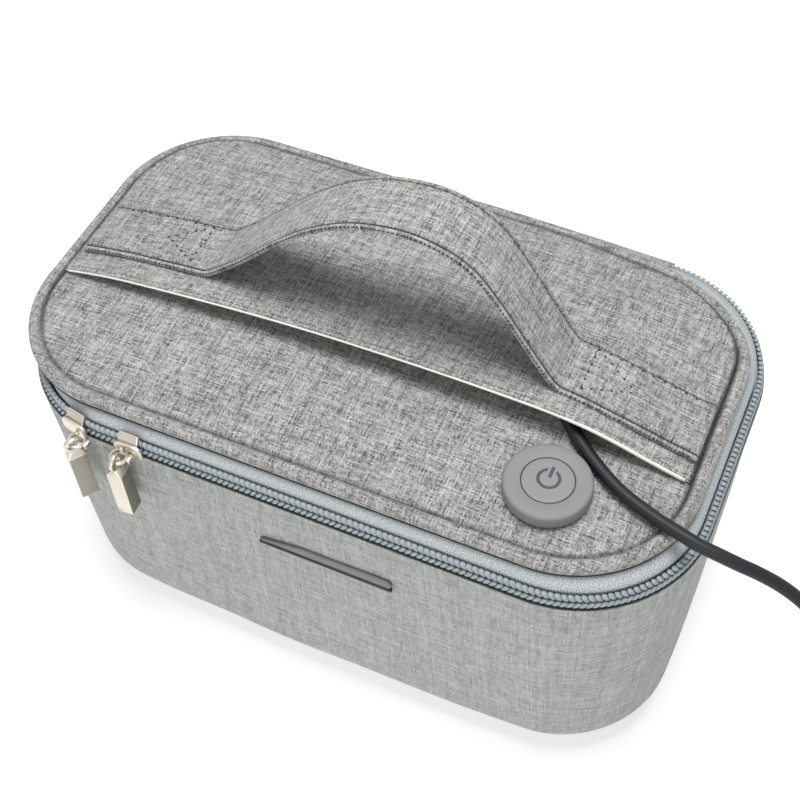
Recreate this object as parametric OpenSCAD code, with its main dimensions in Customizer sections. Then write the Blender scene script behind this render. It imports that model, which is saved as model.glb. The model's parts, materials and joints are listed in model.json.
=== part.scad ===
// Soft-sided sterilizer case: a moulded fabric box with a zipped lid, a top
// pocket, a carry strap, ultraviolet lamps in the lid and a fixed power lead.
// Millimetres. Origin at the middle of the base, +X right, +Y back, +Z up.

/* [Case] */
// Length of the body at its top edge
case_length = 240.4; // [225:1:260]
// Depth of the body at its top edge
case_depth = 146; // [136:1:160]
// Height of the body up to its top edge
body_height = 110.6; // [95:1:125]
// Radius of the upright corners at the top edge
corner_r = 46; // [38:1:52]
// How far the upright corners draw in towards the base
wall_taper = 5.4; // [0:0.2:8]
// How far the flat of each wall bows out again near the base
wall_bow = 4; // [0:0.5:6]
// Radius of the rounded edge round the base
foot_r = 18.5; // [12:0.5:24]
// Thickness of the moulded wall
wall = 3.4; // [3:0.1:5]
// Thickness of the foil lining
lining = 1.2; // [0.8:0.1:2]

/* [Zip] */
// Height of one row of zip teeth
row_height = 1.8; // [1.4:0.1:2.2]
// Open slot between the two rows of teeth
row_slot = 1.2; // [1:0.1:1.6]
// Distance from one tooth to the next
tooth_pitch = 2; // [1.8:0.1:3]
// How far a row of teeth stands out from its tape
row_depth = 1.8; // [1.4:0.1:2]
// Step inwards from the lower row of teeth to the upper row
row_step = 1.1; // [0.8:0.1:1.4]
// Thickness of the woven tape
tape = 0.8; // [0.6:0.1:1]
// Place of the right slider along the front, from the middle
right_slider_x = -62; // [-66:1:-40]
// Heading of the left slider round the front left corner, in degrees
left_slider_turn = 259; // [230:1:262]
// Length of a slider
slider_length = 12; // [10:0.5:14]
// Length of a pull tab below its eye
pull_length = 25; // [18:1:30]

/* [Lid] */
// Length of the lid over its rim
lid_length = 237.2; // [225:1:246]
// Depth of the lid over its rim
lid_depth = 134.6; // [130:1:146]
// How far the lid sits to the left of the body's middle
lid_shift_left = 4.3; // [0:0.1:5]
// How far the lid sits behind the body's middle
lid_shift_back = 0.2; // [0:0.1:3]
// Height of the upper tape, from the teeth to the rim
band_height = 3.2; // [2.5:0.1:5]
// Width of the rolled rim
rim_width = 4.6; // [4:0.1:6]
// Height of the rolled rim
rim_height = 5; // [4:0.1:6]
// Rise of the lid from its edge to its middle
lid_crown = 6; // [3:0.5:8]
// Thickness of the lid panel
panel = 3.2; // [2.6:0.1:3.6]
// Place of the pocket's open edge, in front of the middle
mouth_y = -20.5; // [-24:0.5:-16]
// Room under the pocket's open edge
mouth_gap = 8; // [7:0.5:10]
// Thickness of the pocket flap
flap = 1.2; // [1:0.1:1.6]

/* [Handle] */
// Width of the strap
strap_width = 24; // [20:1:26]
// Thickness of the strap
strap = 2.4; // [2:0.1:3]
// Height of the arch above the base
arch_top = 184; // [176:1:190]

/* [Button] */
// Diameter of the button's housing
housing_d = 28; // [24:1:30]
// Height of the housing above its seat
housing_h = 5; // [4.5:0.1:6]
// Diameter of the part that is pressed
cap_d = 16.6; // [14:0.2:18]
// How far the button travels
press = 0.6; // [0.4:0.1:0.8]
// Distance from the button's middle to the right end of the lid
button_from_end = 44.3; // [40:0.1:54]
// Distance from the button's middle to the front edge of the lid
button_from_front = 25.6; // [24:0.1:29]

/* [Badge] */
// Length of the bare badge on the front wall
badge_length = 49; // [40:1:60]
// Height of the badge
badge_height = 6.6; // [5:0.2:9]
// Thickness of the badge
badge = 1.6; // [1:0.1:2]

/* [Lamps] */
// Number of lamps in the row
lamps = 6; // [4:1:7]
// Distance from one lamp to the next
lamp_pitch = 18; // [16:1:20]
// Depth of the lamps' board
lamp_board_depth = 14; // [11:1:18]
// Length of the control board
control_length = 32; // [28:1:34]
// Depth of the control board
control_depth = 22; // [18:1:23]

/* [Lead] */
// Diameter of the power lead
lead_d = 4.3; // [3.8:0.1:4.5]
// Number of turns in the coil, whole turns and a half
coil_turns = 5.5; // [5.5:1:5.5]

/* [Hidden] */

$fn = 48;
corner_steps = 8;
side_steps = 3;
fit = 0.3;
skim = 0.15;
seam = 0.2;

// Colours of the finishes
body_grey = [0.62, 0.65, 0.63];
lid_grey = [0.64, 0.63, 0.61];
tape_grey = [0.56, 0.60, 0.62];
foil_silver = [0.80, 0.81, 0.82];
edge_white = [0.92, 0.92, 0.90];
soft_grey = [0.60, 0.59, 0.60];
nickel = [0.85, 0.82, 0.76];
cord_black = [0.10, 0.10, 0.11];
board_green = [0.12, 0.36, 0.24];
lamp_clear = [0.82, 0.86, 0.95];

// Body and zip levels
body_hl = case_length / 2;
body_hd = case_depth / 2;
wall_inner = wall + seam;
lining_inner = wall_inner + lining;
rebate = wall - tape - 2 * seam;
rebate_z = body_height - 8;
teeth_z = body_height + fit;
slot_z = teeth_z + row_height;
upper_teeth_z = slot_z + row_slot;
zip_top = upper_teeth_z + row_height;
chain_z = slot_z + row_slot / 2;
lower_tape_in = rebate + fit;
lower_row_in = lower_tape_in - seam;
upper_row_in = lower_row_in + row_step;
upper_tape_in = upper_row_in + seam;
zip_straight = body_hl - corner_r;
zip_side = body_hd - corner_r;

// Lid levels
lid_x = -lid_shift_left;
lid_y = lid_shift_back;
lid_hl = lid_length / 2;
lid_hd = lid_depth / 2;
lid_r = corner_r - 3.5;
panel_hl = lid_hl - rim_width;
panel_hd = lid_hd - rim_width;
panel_r = lid_r - rim_width;
rim_z = zip_top + band_height;
rim_top = rim_z + rim_height;
panel_edge_z = rim_top - 1.3;
panel_foot_z = rim_z - fit;
liner_thickness = 1.4;
liner_z = panel_foot_z - fit - liner_thickness;
liner_top = liner_z + liner_thickness;
liner_inset = 1.5;
flap_back = lid_y + panel_hd - 1;
button_x = lid_x + lid_hl - button_from_end;
button_y = lid_y - lid_hd + button_from_front;

// Hinge line along the back
hinge_thickness = 0.8;
hinge_y = body_hd + fit + hinge_thickness + 0.1;
hinge_z = slot_z + 0.5;
hinge_lap = 14;

// ---- Plans of the case -------------------------------------------------

function blend(a, b, t) = a * (1 - t) + b * t;
function square_of(v) = v * v;
function quadrant(q, hl, hd, r) =
  [(q == 0 || q == 3 ? 1 : -1) * (hl - r), (q < 2 ? 1 : -1) * (hd - r)];
function compass(a) = [cos(a), sin(a)];

// Points round a rounded rectangle, anticlockwise from the back right corner
function lap(hl, hd, r) = [for (q = [0 : 3]) each concat(
  [for (i = [0 : corner_steps])
    quadrant(q, hl, hd, r) + r * compass(90 * (q + i / corner_steps))],
  [for (i = [1 : side_steps])
    blend(quadrant(q, hl, hd, r), quadrant((q + 1) % 4, hl, hd, r), i / (side_steps + 1))
    + r * compass(90 * (q + 1))])];

// The same points at a height, with the flats bowed out and the middle moved
function ring(hl, hd, r, z, bow = 0, x = 0, y = 0) = [for (p = lap(hl, hd, r))
  [x + p.x + sign(p.x) * bow * (1 - square_of(p.y / hd)),
   y + p.y + sign(p.y) * bow * (1 - square_of(p.x / hl)), z]];

lap_points = 4 * (corner_steps + 1 + side_steps);
corner_points = corner_steps + 1 + side_steps;

// Rings of the body wall, set in from its outer face
function wall_sink(z) = (body_height - z) / (body_height - foot_r);
function wall_ring(inset, z) = let (t = wall_sink(z), s = wall_taper * t + inset)
  ring(body_hl - s, body_hd - s, corner_r - s - 4.5 * t, z, wall_bow * t);
function foot_ring(inset, a) = let (r = foot_r - inset, s = wall_taper + inset + r * (1 - cos(a)))
  ring(body_hl - s, body_hd - s, corner_r - s - 4.5, inset + r * (1 - sin(a)), wall_bow);
wall_levels = [for (i = [1 : 4]) blend(foot_r, body_height, i / 4)];
foot_angles = [90, 70, 45, 20, 0];

// Rings of the lid, set in from its outer edge
function lid_ring(inset, z) = ring(lid_hl - inset, lid_hd - inset, lid_r - inset, z, 0, lid_x, lid_y);
function zip_ring(inset, z) = ring(body_hl - inset, body_hd - inset, corner_r - inset, z);

// Height of the lid's top at a place, and of the two faces of the pocket flap
function lid_top(x, y) = panel_edge_z + lid_crown
  * max(0, 1 - square_of((x - lid_x) / panel_hl))
  * max(0, 1 - square_of((y - lid_y) / panel_hd));
function flap_lift(x, y) = fit + mouth_gap
  * (1 - pow(min(1, abs(x - lid_x) / panel_hl), 6))
  * pow(max(0, (flap_back - y) / (flap_back - mouth_y)), 0.8);
function flap_under(x, y) = lid_top(x, y) + flap_lift(x, y);
function flap_over(x, y) = flap_under(x, y) + flap;
// Half the lid panel's length at a place across it
function panel_reach(y) = let (over = abs(y - lid_y) - (panel_hd - panel_r))
  over <= 0 ? panel_hl : panel_hl - panel_r + sqrt(max(0, square_of(panel_r) - square_of(over)));

// ---- Solids made from rings and grids ----------------------------------

function middle(points) = points * 0 == [] ? [0, 0, 0] : [for (i = [0 : 2])
  sum([for (p = points) p[i]]) / len(points)];
function sum(v, i = 0, total = 0) = i == len(v) ? total : sum(v, i + 1, total + v[i]);
function sides(rows, cols, closed) = [for (i = [0 : rows - (closed ? 1 : 2)], j = [0 : cols - 1])
  let (up = (i + 1) % rows, k = (j + 1) % cols)
  each [[i * cols + j, up * cols + j, up * cols + k], [i * cols + j, up * cols + k, i * cols + k]]];

// Solid through a stack of rings, closed by a fan at each end
module stack(rings) {
  rows = len(rings);
  cols = len(rings[0]);
  points = concat([for (r = rings) each r], [middle(rings[0]), middle(rings[rows - 1])]);
  caps = [for (j = [0 : cols - 1]) let (k = (j + 1) % cols) each
    [[rows * cols, j, k], [rows * cols + 1, (rows - 1) * cols + k, (rows - 1) * cols + j]]];
  polyhedron(points, concat(sides(rows, cols, false), caps), convexity = 6);
}

// Solid through rings that close on themselves
module hoop(rings) {
  polyhedron([for (r = rings) each r], sides(len(rings), len(rings[0]), true), convexity = 6);
}

// Part of a hoop, between two places along it
module strip(rings, first, last) {
  n = len(rings[0]);
  stack([for (j = [first : last]) [for (i = [len(rings) - 1 : -1 : 0]) rings[i][j % n]]]);
}

// Thin solid between an upper and a lower grid of points
module sheet(over, under) {
  rows = len(over);
  cols = len(over[0]);
  n = rows * cols;
  edge = concat([for (j = [0 : cols - 1]) j], [for (i = [1 : rows - 1]) i * cols + cols - 1],
    [for (j = [cols - 2 : -1 : 0]) (rows - 1) * cols + j], [for (i = [rows - 2 : -1 : 1]) i * cols]);
  faces = [for (i = [0 : rows - 2], j = [0 : cols - 2])
    let (a = i * cols + j, b = a + 1, c = a + cols, d = c + 1)
    each [[a, c, d], [a, d, b], [n + a, n + d, n + c], [n + a, n + b, n + d]]];
  rim = [for (i = [0 : len(edge) - 1]) let (a = edge[i], b = edge[(i + 1) % len(edge)])
    each [[a, b, n + b], [a, n + b, n + a]]];
  polyhedron(concat([for (r = over) each r], [for (r = under) each r]), concat(faces, rim), convexity = 6);
}

// Flat rounded rectangle
module plan(hl, hd, r) {
  square([2 * hl, 2 * (hd - r)], center = true);
  square([2 * (hl - r), 2 * hd], center = true);
  for (q = [0 : 3]) translate(quadrant(q, hl, hd, r)) circle(r);
}

module block(size, r) {
  linear_extrude(size.z) plan(size.x / 2, size.y / 2, r);
}

// ---- Body --------------------------------------------------------------

module body_shell() {
  color(body_grey) stack(concat(
    [for (a = foot_angles) foot_ring(0, a)],
    [for (z = wall_levels) wall_ring(0, z - (z == body_height ? 0.8 : 0))],
    [zip_ring(0.6, body_height), zip_ring(rebate, body_height),
     zip_ring(rebate, rebate_z), wall_ring(wall, rebate_z - 1)],
    [for (i = [2 : -1 : 0]) wall_ring(wall, wall_levels[i])],
    [for (i = [4 : -1 : 0]) foot_ring(wall, foot_angles[i])]));
}

module body_liner() {
  color(foil_silver) stack(concat(
    [for (a = foot_angles) foot_ring(wall_inner, a)],
    [for (i = [0 : 2]) wall_ring(wall_inner, wall_levels[i])],
    [wall_ring(wall_inner, body_height - fit), wall_ring(lining_inner, body_height - fit)],
    [for (i = [2 : -1 : 0]) wall_ring(lining_inner, wall_levels[i])],
    [for (i = [4 : -1 : 0]) foot_ring(lining_inner, foot_angles[i])]));
}

badge_x = 7;
badge_z = 88.4;
// Outer face of the front wall at the badge
function front_face(z) = -(body_hd - wall_taper * wall_sink(z)
  + wall_bow * wall_sink(z) * (1 - square_of(badge_x / body_hl)));
badge_lean = atan((front_face(badge_z + badge_height / 2) - front_face(badge_z - badge_height / 2)) / badge_height);

module badge_plate() {
  color(soft_grey) translate([badge_x, front_face(badge_z) - skim, badge_z])
    rotate([90 + badge_lean, 0, 0]) linear_extrude(badge)
      plan(badge_length / 2, badge_height / 2, badge_height / 2 - 0.01);
}

// The fabric hinge: a lower leaf on the body, an upper leaf on the lid
module hinge_lower() {
  color(lid_grey) translate([-zip_straight, body_hd + fit, hinge_z - hinge_lap])
    cube([2 * zip_straight, hinge_thickness, hinge_lap - skim]);
}

module hinge_upper() {
  columns = [-zip_straight, 0, zip_straight];
  face = body_hd + fit;
  tuck = lid_y + lid_hd - 1.2;
  color(lid_grey) sheet(
    [for (p = [[face + hinge_thickness, hinge_z + skim], [face + hinge_thickness, hinge_z + 2.4],
      [tuck + 0.9, rim_z + 0.4]]) [for (x = columns) [-x, p[0], p[1]]]],
    [for (p = [[face, hinge_z + skim], [face, hinge_z + 2.2], [tuck, rim_z - fit]])
      [for (x = columns) [-x, p[0], p[1]]]]);
}

// ---- Zip ---------------------------------------------------------------

module tape_loop(inset, height) {
  linear_extrude(height) difference() {
    plan(body_hl - inset, body_hd - inset, corner_r - inset);
    plan(body_hl - inset - tape, body_hd - inset - tape, corner_r - inset - tape);
    translate([-zip_straight, 0]) square([2 * zip_straight, body_hd]);
  }
}

module lower_tape() {
  color(tape_grey) translate([0, 0, rebate_z + fit])
    tape_loop(lower_tape_in, slot_z - skim - rebate_z - fit);
}

module upper_tape() {
  color(tape_grey) strip([
    zip_ring(upper_tape_in + tape, upper_teeth_z), zip_ring(upper_tape_in, upper_teeth_z),
    zip_ring(upper_tape_in, zip_top + fit), lid_ring(0.8, rim_z + 0.15),
    lid_ring(1.8, rim_z - fit), zip_ring(upper_tape_in + tape, zip_top + fit)],
    corner_points, lap_points + corner_steps);
}

// Place and outward heading at a distance along the zip, from its back left end
function zip_run(s, r) = let (arc = r * PI / 2, side = 2 * zip_side, front = 2 * zip_straight,
    a = s / r * 180 / PI)
  s < arc ? [quadrant(1, body_hl, body_hd, corner_r), 90 + a] :
  s < arc + side ? [[-zip_straight, zip_side - (s - arc)], 180] :
  s < 2 * arc + side ? [quadrant(2, body_hl, body_hd, corner_r), 90 + a - side / r * 180 / PI] :
  s < 2 * arc + side + front ? [[s - 2 * arc - side - zip_straight, -zip_side], 270] :
  s < 3 * arc + side + front
    ? [quadrant(3, body_hl, body_hd, corner_r), 90 + a - (side + front) / r * 180 / PI] :
  s < 3 * arc + 2 * side + front ? [[zip_straight, s - 3 * arc - side - front - zip_side], 360] :
  [quadrant(0, body_hl, body_hd, corner_r), 90 + a - (2 * side + front) / r * 180 / PI];

function zip_point(s, r, out) = let (p = zip_run(s, r)) p[0] + (r + out) * compass(p[1]);

// One row of teeth: a comb round the zip, cut off square at both ends
module teeth_row(inset, phase) {
  r = corner_r - inset;
  run = 2 * PI * r + 4 * zip_side + 2 * zip_straight;
  count = floor(run / tooth_pitch) - 1;
  land = 0.4 * tooth_pitch;
  tooth = 0.75;
  comb = [for (i = [0 : count - 1]) let (s = (i + phase + 0.3) * tooth_pitch) each
    [zip_point(s, r, row_depth - tooth), zip_point(s + tooth_pitch / 2 - land / 2, r, row_depth),
     zip_point(s + tooth_pitch / 2 + land / 2, r, row_depth)]];
  steps = 3 * corner_steps;
  marks = [for (q = [0 : 3]) each [for (i = [0 : steps]) [q, 90 * (q + i / steps)]]];
  back = [for (m = marks) let (q = (m[0] + 1) % 4)
    quadrant(q, body_hl, body_hd, corner_r) + r * compass(m[1] + 90)];
  linear_extrude(row_height) polygon(concat(comb, [for (i = [len(back) - 1 : -1 : 0]) back[i]]));
}

module lower_teeth() {
  color(tape_grey) translate([0, 0, teeth_z]) teeth_row(lower_row_in, 0);
}

module upper_teeth() {
  color(tape_grey) translate([0, 0, upper_teeth_z]) teeth_row(upper_row_in, 0.5);
}

// A slider's own frame: travel along X, away from the case along +Y, and the
// middle of the chain at the origin on the body's top outline
module at_slider(centre, heading) {
  translate([centre.x, centre.y, chain_z]) rotate([0, 0, heading - 90])
    translate([0, corner_r, 0]) children();
}
module at_right_slider() {
  at_slider([right_slider_x, -zip_side], 270) children();
}
module at_left_slider() {
  at_slider([-zip_straight, -zip_side], left_slider_turn) children();
}

plate = 1.2;
plate_height = 6.6;
inner_plate_y = -(upper_tape_in + tape + 0.6);
cap_width = 7;
cap_height = 4.8;
cap_rise = 0.9;
bridge_reach = 4.9;
bridge_bar = 1.2;
bridge_height = 2.2;
bridge_z = -1.4;
bridge_gap = 3.2;
eye_out = 3.2;
eye_in = 1.9;
pull = 1.3;
pull_top = 5.6;
pull_foot = 7;
bar_y = fit + plate + bridge_reach - bridge_bar / 2;

// Flat plate that stands upright in a slider's frame, its face towards +Y
module upright(y, thickness) {
  translate([0, y + thickness, 0]) rotate([90, 0, 0]) linear_extrude(thickness) children();
}

module slider() {
  upright(fit, plate) plan(slider_length / 2, plate_height / 2, 2);
  upright(inner_plate_y - 1, 1) translate([0, 0.1]) plan(slider_length / 2 - 1, 2.5, 1.5);
  post = row_slot - 2 * fit;
  translate([-2, inner_plate_y - 0.5, -post / 2]) cube([4, fit + 1 - inner_plate_y, post]);
  upright(fit + plate - 0.1, cap_rise + 0.1) translate([0, 2]) plan(cap_width / 2, cap_height / 2, 1.4);
  translate([0, fit + plate - 0.1, bridge_z - bridge_height / 2]) linear_extrude(bridge_height)
    difference() {
      translate([0, (bridge_reach - 3) / 2])
        plan(bridge_gap + bridge_bar, (bridge_reach + 3.2) / 2, 2.4);
      translate([0, (bridge_reach - bridge_bar - 3) / 2 + 0.1])
        plan(bridge_gap, (bridge_reach - bridge_bar + 3) / 2, 1.5);
      translate([-10, -10]) square([20, 10]);
    }
}

// Pull tab that hangs from the slider's bar, turned about the upright
module pull_tab(yaw) {
  translate([0, bar_y, bridge_z]) rotate([0, 0, yaw]) rotate([90, 0, 90])
    translate([0, 0, -pull / 2]) linear_extrude(pull) difference() {
      union() {
        circle(eye_out);
        polygon([[-pull_top / 2, 0], [-pull_foot / 2, -pull_length], [-pull_foot / 2 + 1.5, -pull_length - 1.5],
          [pull_foot / 2 - 1.5, -pull_length - 1.5], [pull_foot / 2, -pull_length], [pull_top / 2, 0]]);
      }
      circle(eye_in);
    }
}

module slider_right() {
  color(nickel) at_right_slider() slider();
}
module slider_left() {
  color(nickel) at_left_slider() slider();
}
module pull_right() {
  color(nickel) at_right_slider() pull_tab(-30);
}
module pull_left() {
  color(nickel) at_left_slider() pull_tab(24);
}

// ---- Lid ---------------------------------------------------------------

seat_z = lid_top(button_x, button_y);
stem_bore = 5.2;

// Ring of the lid panel drawn in towards its middle, on the domed top
function dome_ring(scale, drop) = [for (p = lap(panel_hl, panel_hd, panel_r))
  let (x = lid_x + p.x * scale, y = lid_y + p.y * scale) [x, y, lid_top(x, y) - drop]];
function flat_ring(scale, z) = [for (p = lap(panel_hl, panel_hd, panel_r))
  [lid_x + p.x * scale, lid_y + p.y * scale, z]];

module lid_panel() {
  shrink = [0.9, 0.7, 0.45, 0.2];
  color(lid_grey) difference() {
    union() {
      stack(concat(
        [for (i = [3 : -1 : 0]) dome_ring(shrink[i], panel)],
        [flat_ring(0.92, panel_foot_z), flat_ring(1, panel_foot_z), flat_ring(1, panel_edge_z)],
        [for (i = [0 : 3]) dome_ring(shrink[i], 0)]));
      translate([button_x, button_y, seat_z - panel + 0.4]) cylinder(r = housing_d / 2 + fit, h = panel - 0.4);
    }
    translate([button_x, button_y, seat_z]) cylinder(r = housing_d / 2 + fit, h = 5);
    translate([button_x, button_y, panel_foot_z]) cylinder(r = stem_bore, h = 10);
  }
}

module lid_rim() {
  w = rim_width;
  h = rim_height;
  section = [[w - skim, 0.06], [0.3 * w, 0], [0.07 * w, 0.18], [0, 0.46], [0.11 * w, 0.78],
    [0.37 * w, 0.96], [0.72 * w, 0.98], [w - skim, 0.8]];
  color(lid_grey) hoop([for (p = section) lid_ring(p[0], rim_z + p[1] * h)]);
}

lamp_y = 20;
lamp_x = [for (i = [0 : lamps - 1]) lid_x + (i - (lamps - 1) / 2) * lamp_pitch];
window_r = 4.2;
chip_side = 3.5;
chip_height = 1.2;
board = 1.2;
lamp_board_z = liner_top + skim;

module lid_liner() {
  color(foil_silver) translate([lid_x, lid_y, liner_z]) difference() {
    block([2 * (panel_hl - liner_inset), 2 * (panel_hd - liner_inset), liner_thickness],
      panel_r - liner_inset);
    for (x = lamp_x) translate([x - lid_x, lamp_y - lid_y, -1]) cylinder(r = window_r, h = 4);
  }
}

module pocket_flap() {
  rows = [for (t = [0, 0.14, 0.3, 0.46, 0.62, 0.76, 0.88, 0.96, 1]) blend(mouth_y, flap_back, t)];
  cols = 16;
  function across(y) = [for (j = [0 : cols]) lid_x + (panel_reach(y) - fit) * (2 * j / cols - 1)];
  color(lid_grey) sheet([for (y = rows) [for (x = across(y)) [x, y, flap_over(x, y)]]],
    [for (y = rows) [for (x = across(y)) [x, y, flap_under(x, y)]]]);
}

module flap_edging() {
  rows = [mouth_y - 1.3, mouth_y - skim];
  cols = 16;
  reach = panel_reach(mouth_y) - 3;
  across = [for (j = [0 : cols]) lid_x + reach * (2 * j / cols - 1)];
  color(edge_white) sheet([for (y = rows) [for (x = across) [x, y, flap_over(x, mouth_y) - 0.2]]],
    [for (y = rows) [for (x = across) [x, y, flap_over(x, mouth_y) - 1.1]]]);
}

// ---- Handle ------------------------------------------------------------

strap_y = -0.5;
strap_left = -115;
strap_right = 106;
// Places along the arch: across, and up as a share of the rise above the lid
arch_foot = 131;
arch = [[-66, 0.03], [-58, 0.14], [-48, 0.32], [-36, 0.55], [-22, 0.78], [-7, 0.94], [9, 1],
  [22, 0.965], [32, 0.86], [40, 0.68], [47, 0.48], [54, 0.28], [61, 0.1], [67, 0.01]];
arch_line = [for (p = arch) [p[0], arch_foot + p[1] * (arch_top - strap - arch_foot)]];
strap_line = concat([for (t = [0 : 3]) [blend(strap_left, -74, t / 3), 0]], spline(arch_line, 2),
  [for (t = [0 : 3]) [blend(75, strap_right, t / 3), 0]]);

// Smooth curve through points, with a few steps between each two
function spline_at(a, b, c, d, t) = 0.5 * (2 * b + (c - a) * t + (2 * a - 5 * b + 4 * c - d) * t * t
  + (3 * b - a - 3 * c + d) * t * t * t);
function spline(p, steps) = [for (i = [0 : len(p) - 2], k = [0 : steps - 1])
  spline_at(p[max(0, i - 1)], p[i], p[i + 1], p[min(len(p) - 1, i + 2)], k / steps), p[len(p) - 1]];

module handle_strap() {
  across = [-strap_width / 2, 0, strap_width / 2];
  rise = [for (y = across) [for (p = strap_line)
    [p[0], strap_y + y, max(p[1], flap_over(p[0], strap_y + y) + fit)]]];
  n = len(strap_line);
  function lean(row, j) = let (d = row[min(n - 1, j + 1)] - row[max(0, j - 1)], u = d / norm(d)) [-u.z, 0, u.x];
  color(lid_grey) sheet([for (row = rise) [for (j = [0 : n - 1]) row[j] + strap * lean(row, j)]], rise);
}

// ---- Button and electronics --------------------------------------------

cap_skirt = 1.6;
housing_wall = 0.15;
boards_z = liner_top + skim;
switch_side = 6;
control_shift = 5;
switch_z = boards_z + board;
switch_h = 2.2;
plunger_r = 1.7;
plunger_rise = 0.8;
housing_z = seat_z + skim;

module button_housing() {
  round_over = 1.4;
  bore_r = cap_d / 2 + housing_wall;
  top = housing_h;
  color(soft_grey) translate([button_x, button_y, housing_z]) rotate_extrude($fn = 72)
    difference() {
      union() {
        square([housing_d / 2, top - round_over]);
        square([housing_d / 2 - round_over, top]);
        translate([housing_d / 2 - round_over, top - round_over]) circle(round_over);
      }
      translate([0, top - cap_skirt - press - 0.1]) square([bore_r, 10]);
      square([stem_bore - 0.4, 20]);
    }
}

module button_cap() {
  color(soft_grey) translate([button_x, button_y, 0]) {
    translate([0, 0, housing_z + housing_h - cap_skirt]) cylinder(d = cap_d, h = cap_skirt, $fn = 72);
    stem_foot = switch_z + switch_h + plunger_rise;
    translate([0, 0, stem_foot]) cylinder(r = 2.4, h = housing_z + housing_h - 1 - stem_foot);
  }
}

module switch_plunger() {
  color(cord_black) translate([button_x, button_y, switch_z + 1]) cylinder(r = plunger_r,
    h = switch_h - 1 + plunger_rise - 0.02);
}

module tact_switch() {
  color(nickel) translate([button_x, button_y, switch_z + 0.02]) difference() {
    block([switch_side, switch_side, switch_h], 0.4);
    translate([0, 0, 1 - press - 0.22]) cylinder(r = plunger_r + 0.1, h = 10);
  }
}

module control_board() {
  color(board_green) translate([button_x, button_y, boards_z]) difference() {
    translate([0, control_shift, 0]) block([control_length, control_depth, board], 2);
    for (x = [-1, 1], y = [-1, 1]) translate([x * (control_length / 2 - 3),
      control_shift + y * (control_depth / 2 - 3), -1]) cylinder(r = 1.1, h = 4);
  }
}

module lamp_board() {
  color(board_green) translate([lid_x, lamp_y, lamp_board_z])
    block([(lamps + 0.45) * lamp_pitch, lamp_board_depth, board], 2);
}

module lamp_chips() {
  color(edge_white) for (x = lamp_x) translate([x, lamp_y, lamp_board_z - chip_height - 0.02])
    block([chip_side, chip_side, chip_height], 0.3);
}

module lamp_lenses() {
  lens_z = lamp_board_z - chip_height - 0.32;
  color(lamp_clear) for (x = lamp_x) translate([x, lamp_y, lens_z]) rotate_extrude()
    intersection() {
      translate([0, 1.6]) circle(4);
      translate([0, -2.4]) square([window_r - skim, 2.4]);
    }
}

module lid_sensor() {
  color(cord_black) translate([button_x - 27, button_y - 6, boards_z]) block([14, 5, 1.6], 0.8);
}

module magnet_pod() {
  z = body_height - 8;
  t = wall_sink(z);
  face = -(body_hd - wall_taper * t + wall_bow * t * 0.7 - lining_inner);
  color(foil_silver) translate([button_x - 27, face + fit, z]) rotate([-90, 0, 0]) {
    cylinder(d = 11, h = 1.6);
    cylinder(d = 9, h = 2.4);
  }
}

// ---- Lead --------------------------------------------------------------

lead_r = lead_d / 2;
coil_centre = [204, -48];
coil_gap = 0.5;
coil_pitch = lead_d + coil_gap;
coil_mid_r = 5.5 * lead_d;
coil_in = 2.5 * coil_pitch;
coil_out_r = coil_mid_r + coil_in / 2;
coil_dip = 0.3 * lead_d;
coil_low = lead_r + 0.05;
coil_high = coil_low + coil_pitch;
gland_place = [47, 7];
gland_rise = 2.54;
gland_end = [each gland_place, lid_top(gland_place.x, gland_place.y) + gland_rise];
echo(gland_height = gland_end.z);
// Chosen route of the lead: under the flap, past the button, over the lid's
// corner, down beside the case and on to the coil
route = [gland_end, [51, 2, 129.7], [57, -5.5, 129.4], [67.5, -17, 128.5], [78, -26.5, 127.5],
  [90.5, -34.5, 126.6], [103, -39.4, 126.4], [112, -42, 126.5], [118, -43.2, 126], [125, -43.3, 124.6],
  [131, -42.8, 122.6], [137, -41.8, 120], [144, -40.9, 116.3], [151, -40.6, 111.5],
  [157, -39.5, 104], [162.5, -37.5, 94], [167, -34.5, 81], [170.5, -31, 67],
  [174, -28, 53], [177.5, -25, 39.5], [180.6, -22.5, 27.5], [184, -20.6, 17.6], [187.6, -19.4, 11.6],
  [191.4, -18.6, 8.2], [195.4, coil_centre.y + coil_out_r, coil_high],
  [197.5, coil_centre.y + coil_out_r, coil_high],
  [coil_centre.x - lead_d, coil_centre.y + coil_out_r, coil_high]];

// Tube swept along a line of points, its rings kept upright
function unit(v) = v / norm(v);
function heading(line, i) = unit(line[min(len(line) - 1, i + 1)] - line[max(0, i - 1)]);
function tube_rings(line, r, n) = [for (i = [0 : len(line) - 1])
  let (t = heading(line, i), s = unit(cross([0, 0, 1], t)), u = cross(t, s))
  [for (k = [0 : n - 1]) line[i] + r * (cos(360 * k / n) * s + sin(360 * k / n) * u)]];

module lead() {
  color(cord_black) stack(tube_rings(spline(route, 2), lead_r, 8));
}

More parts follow.
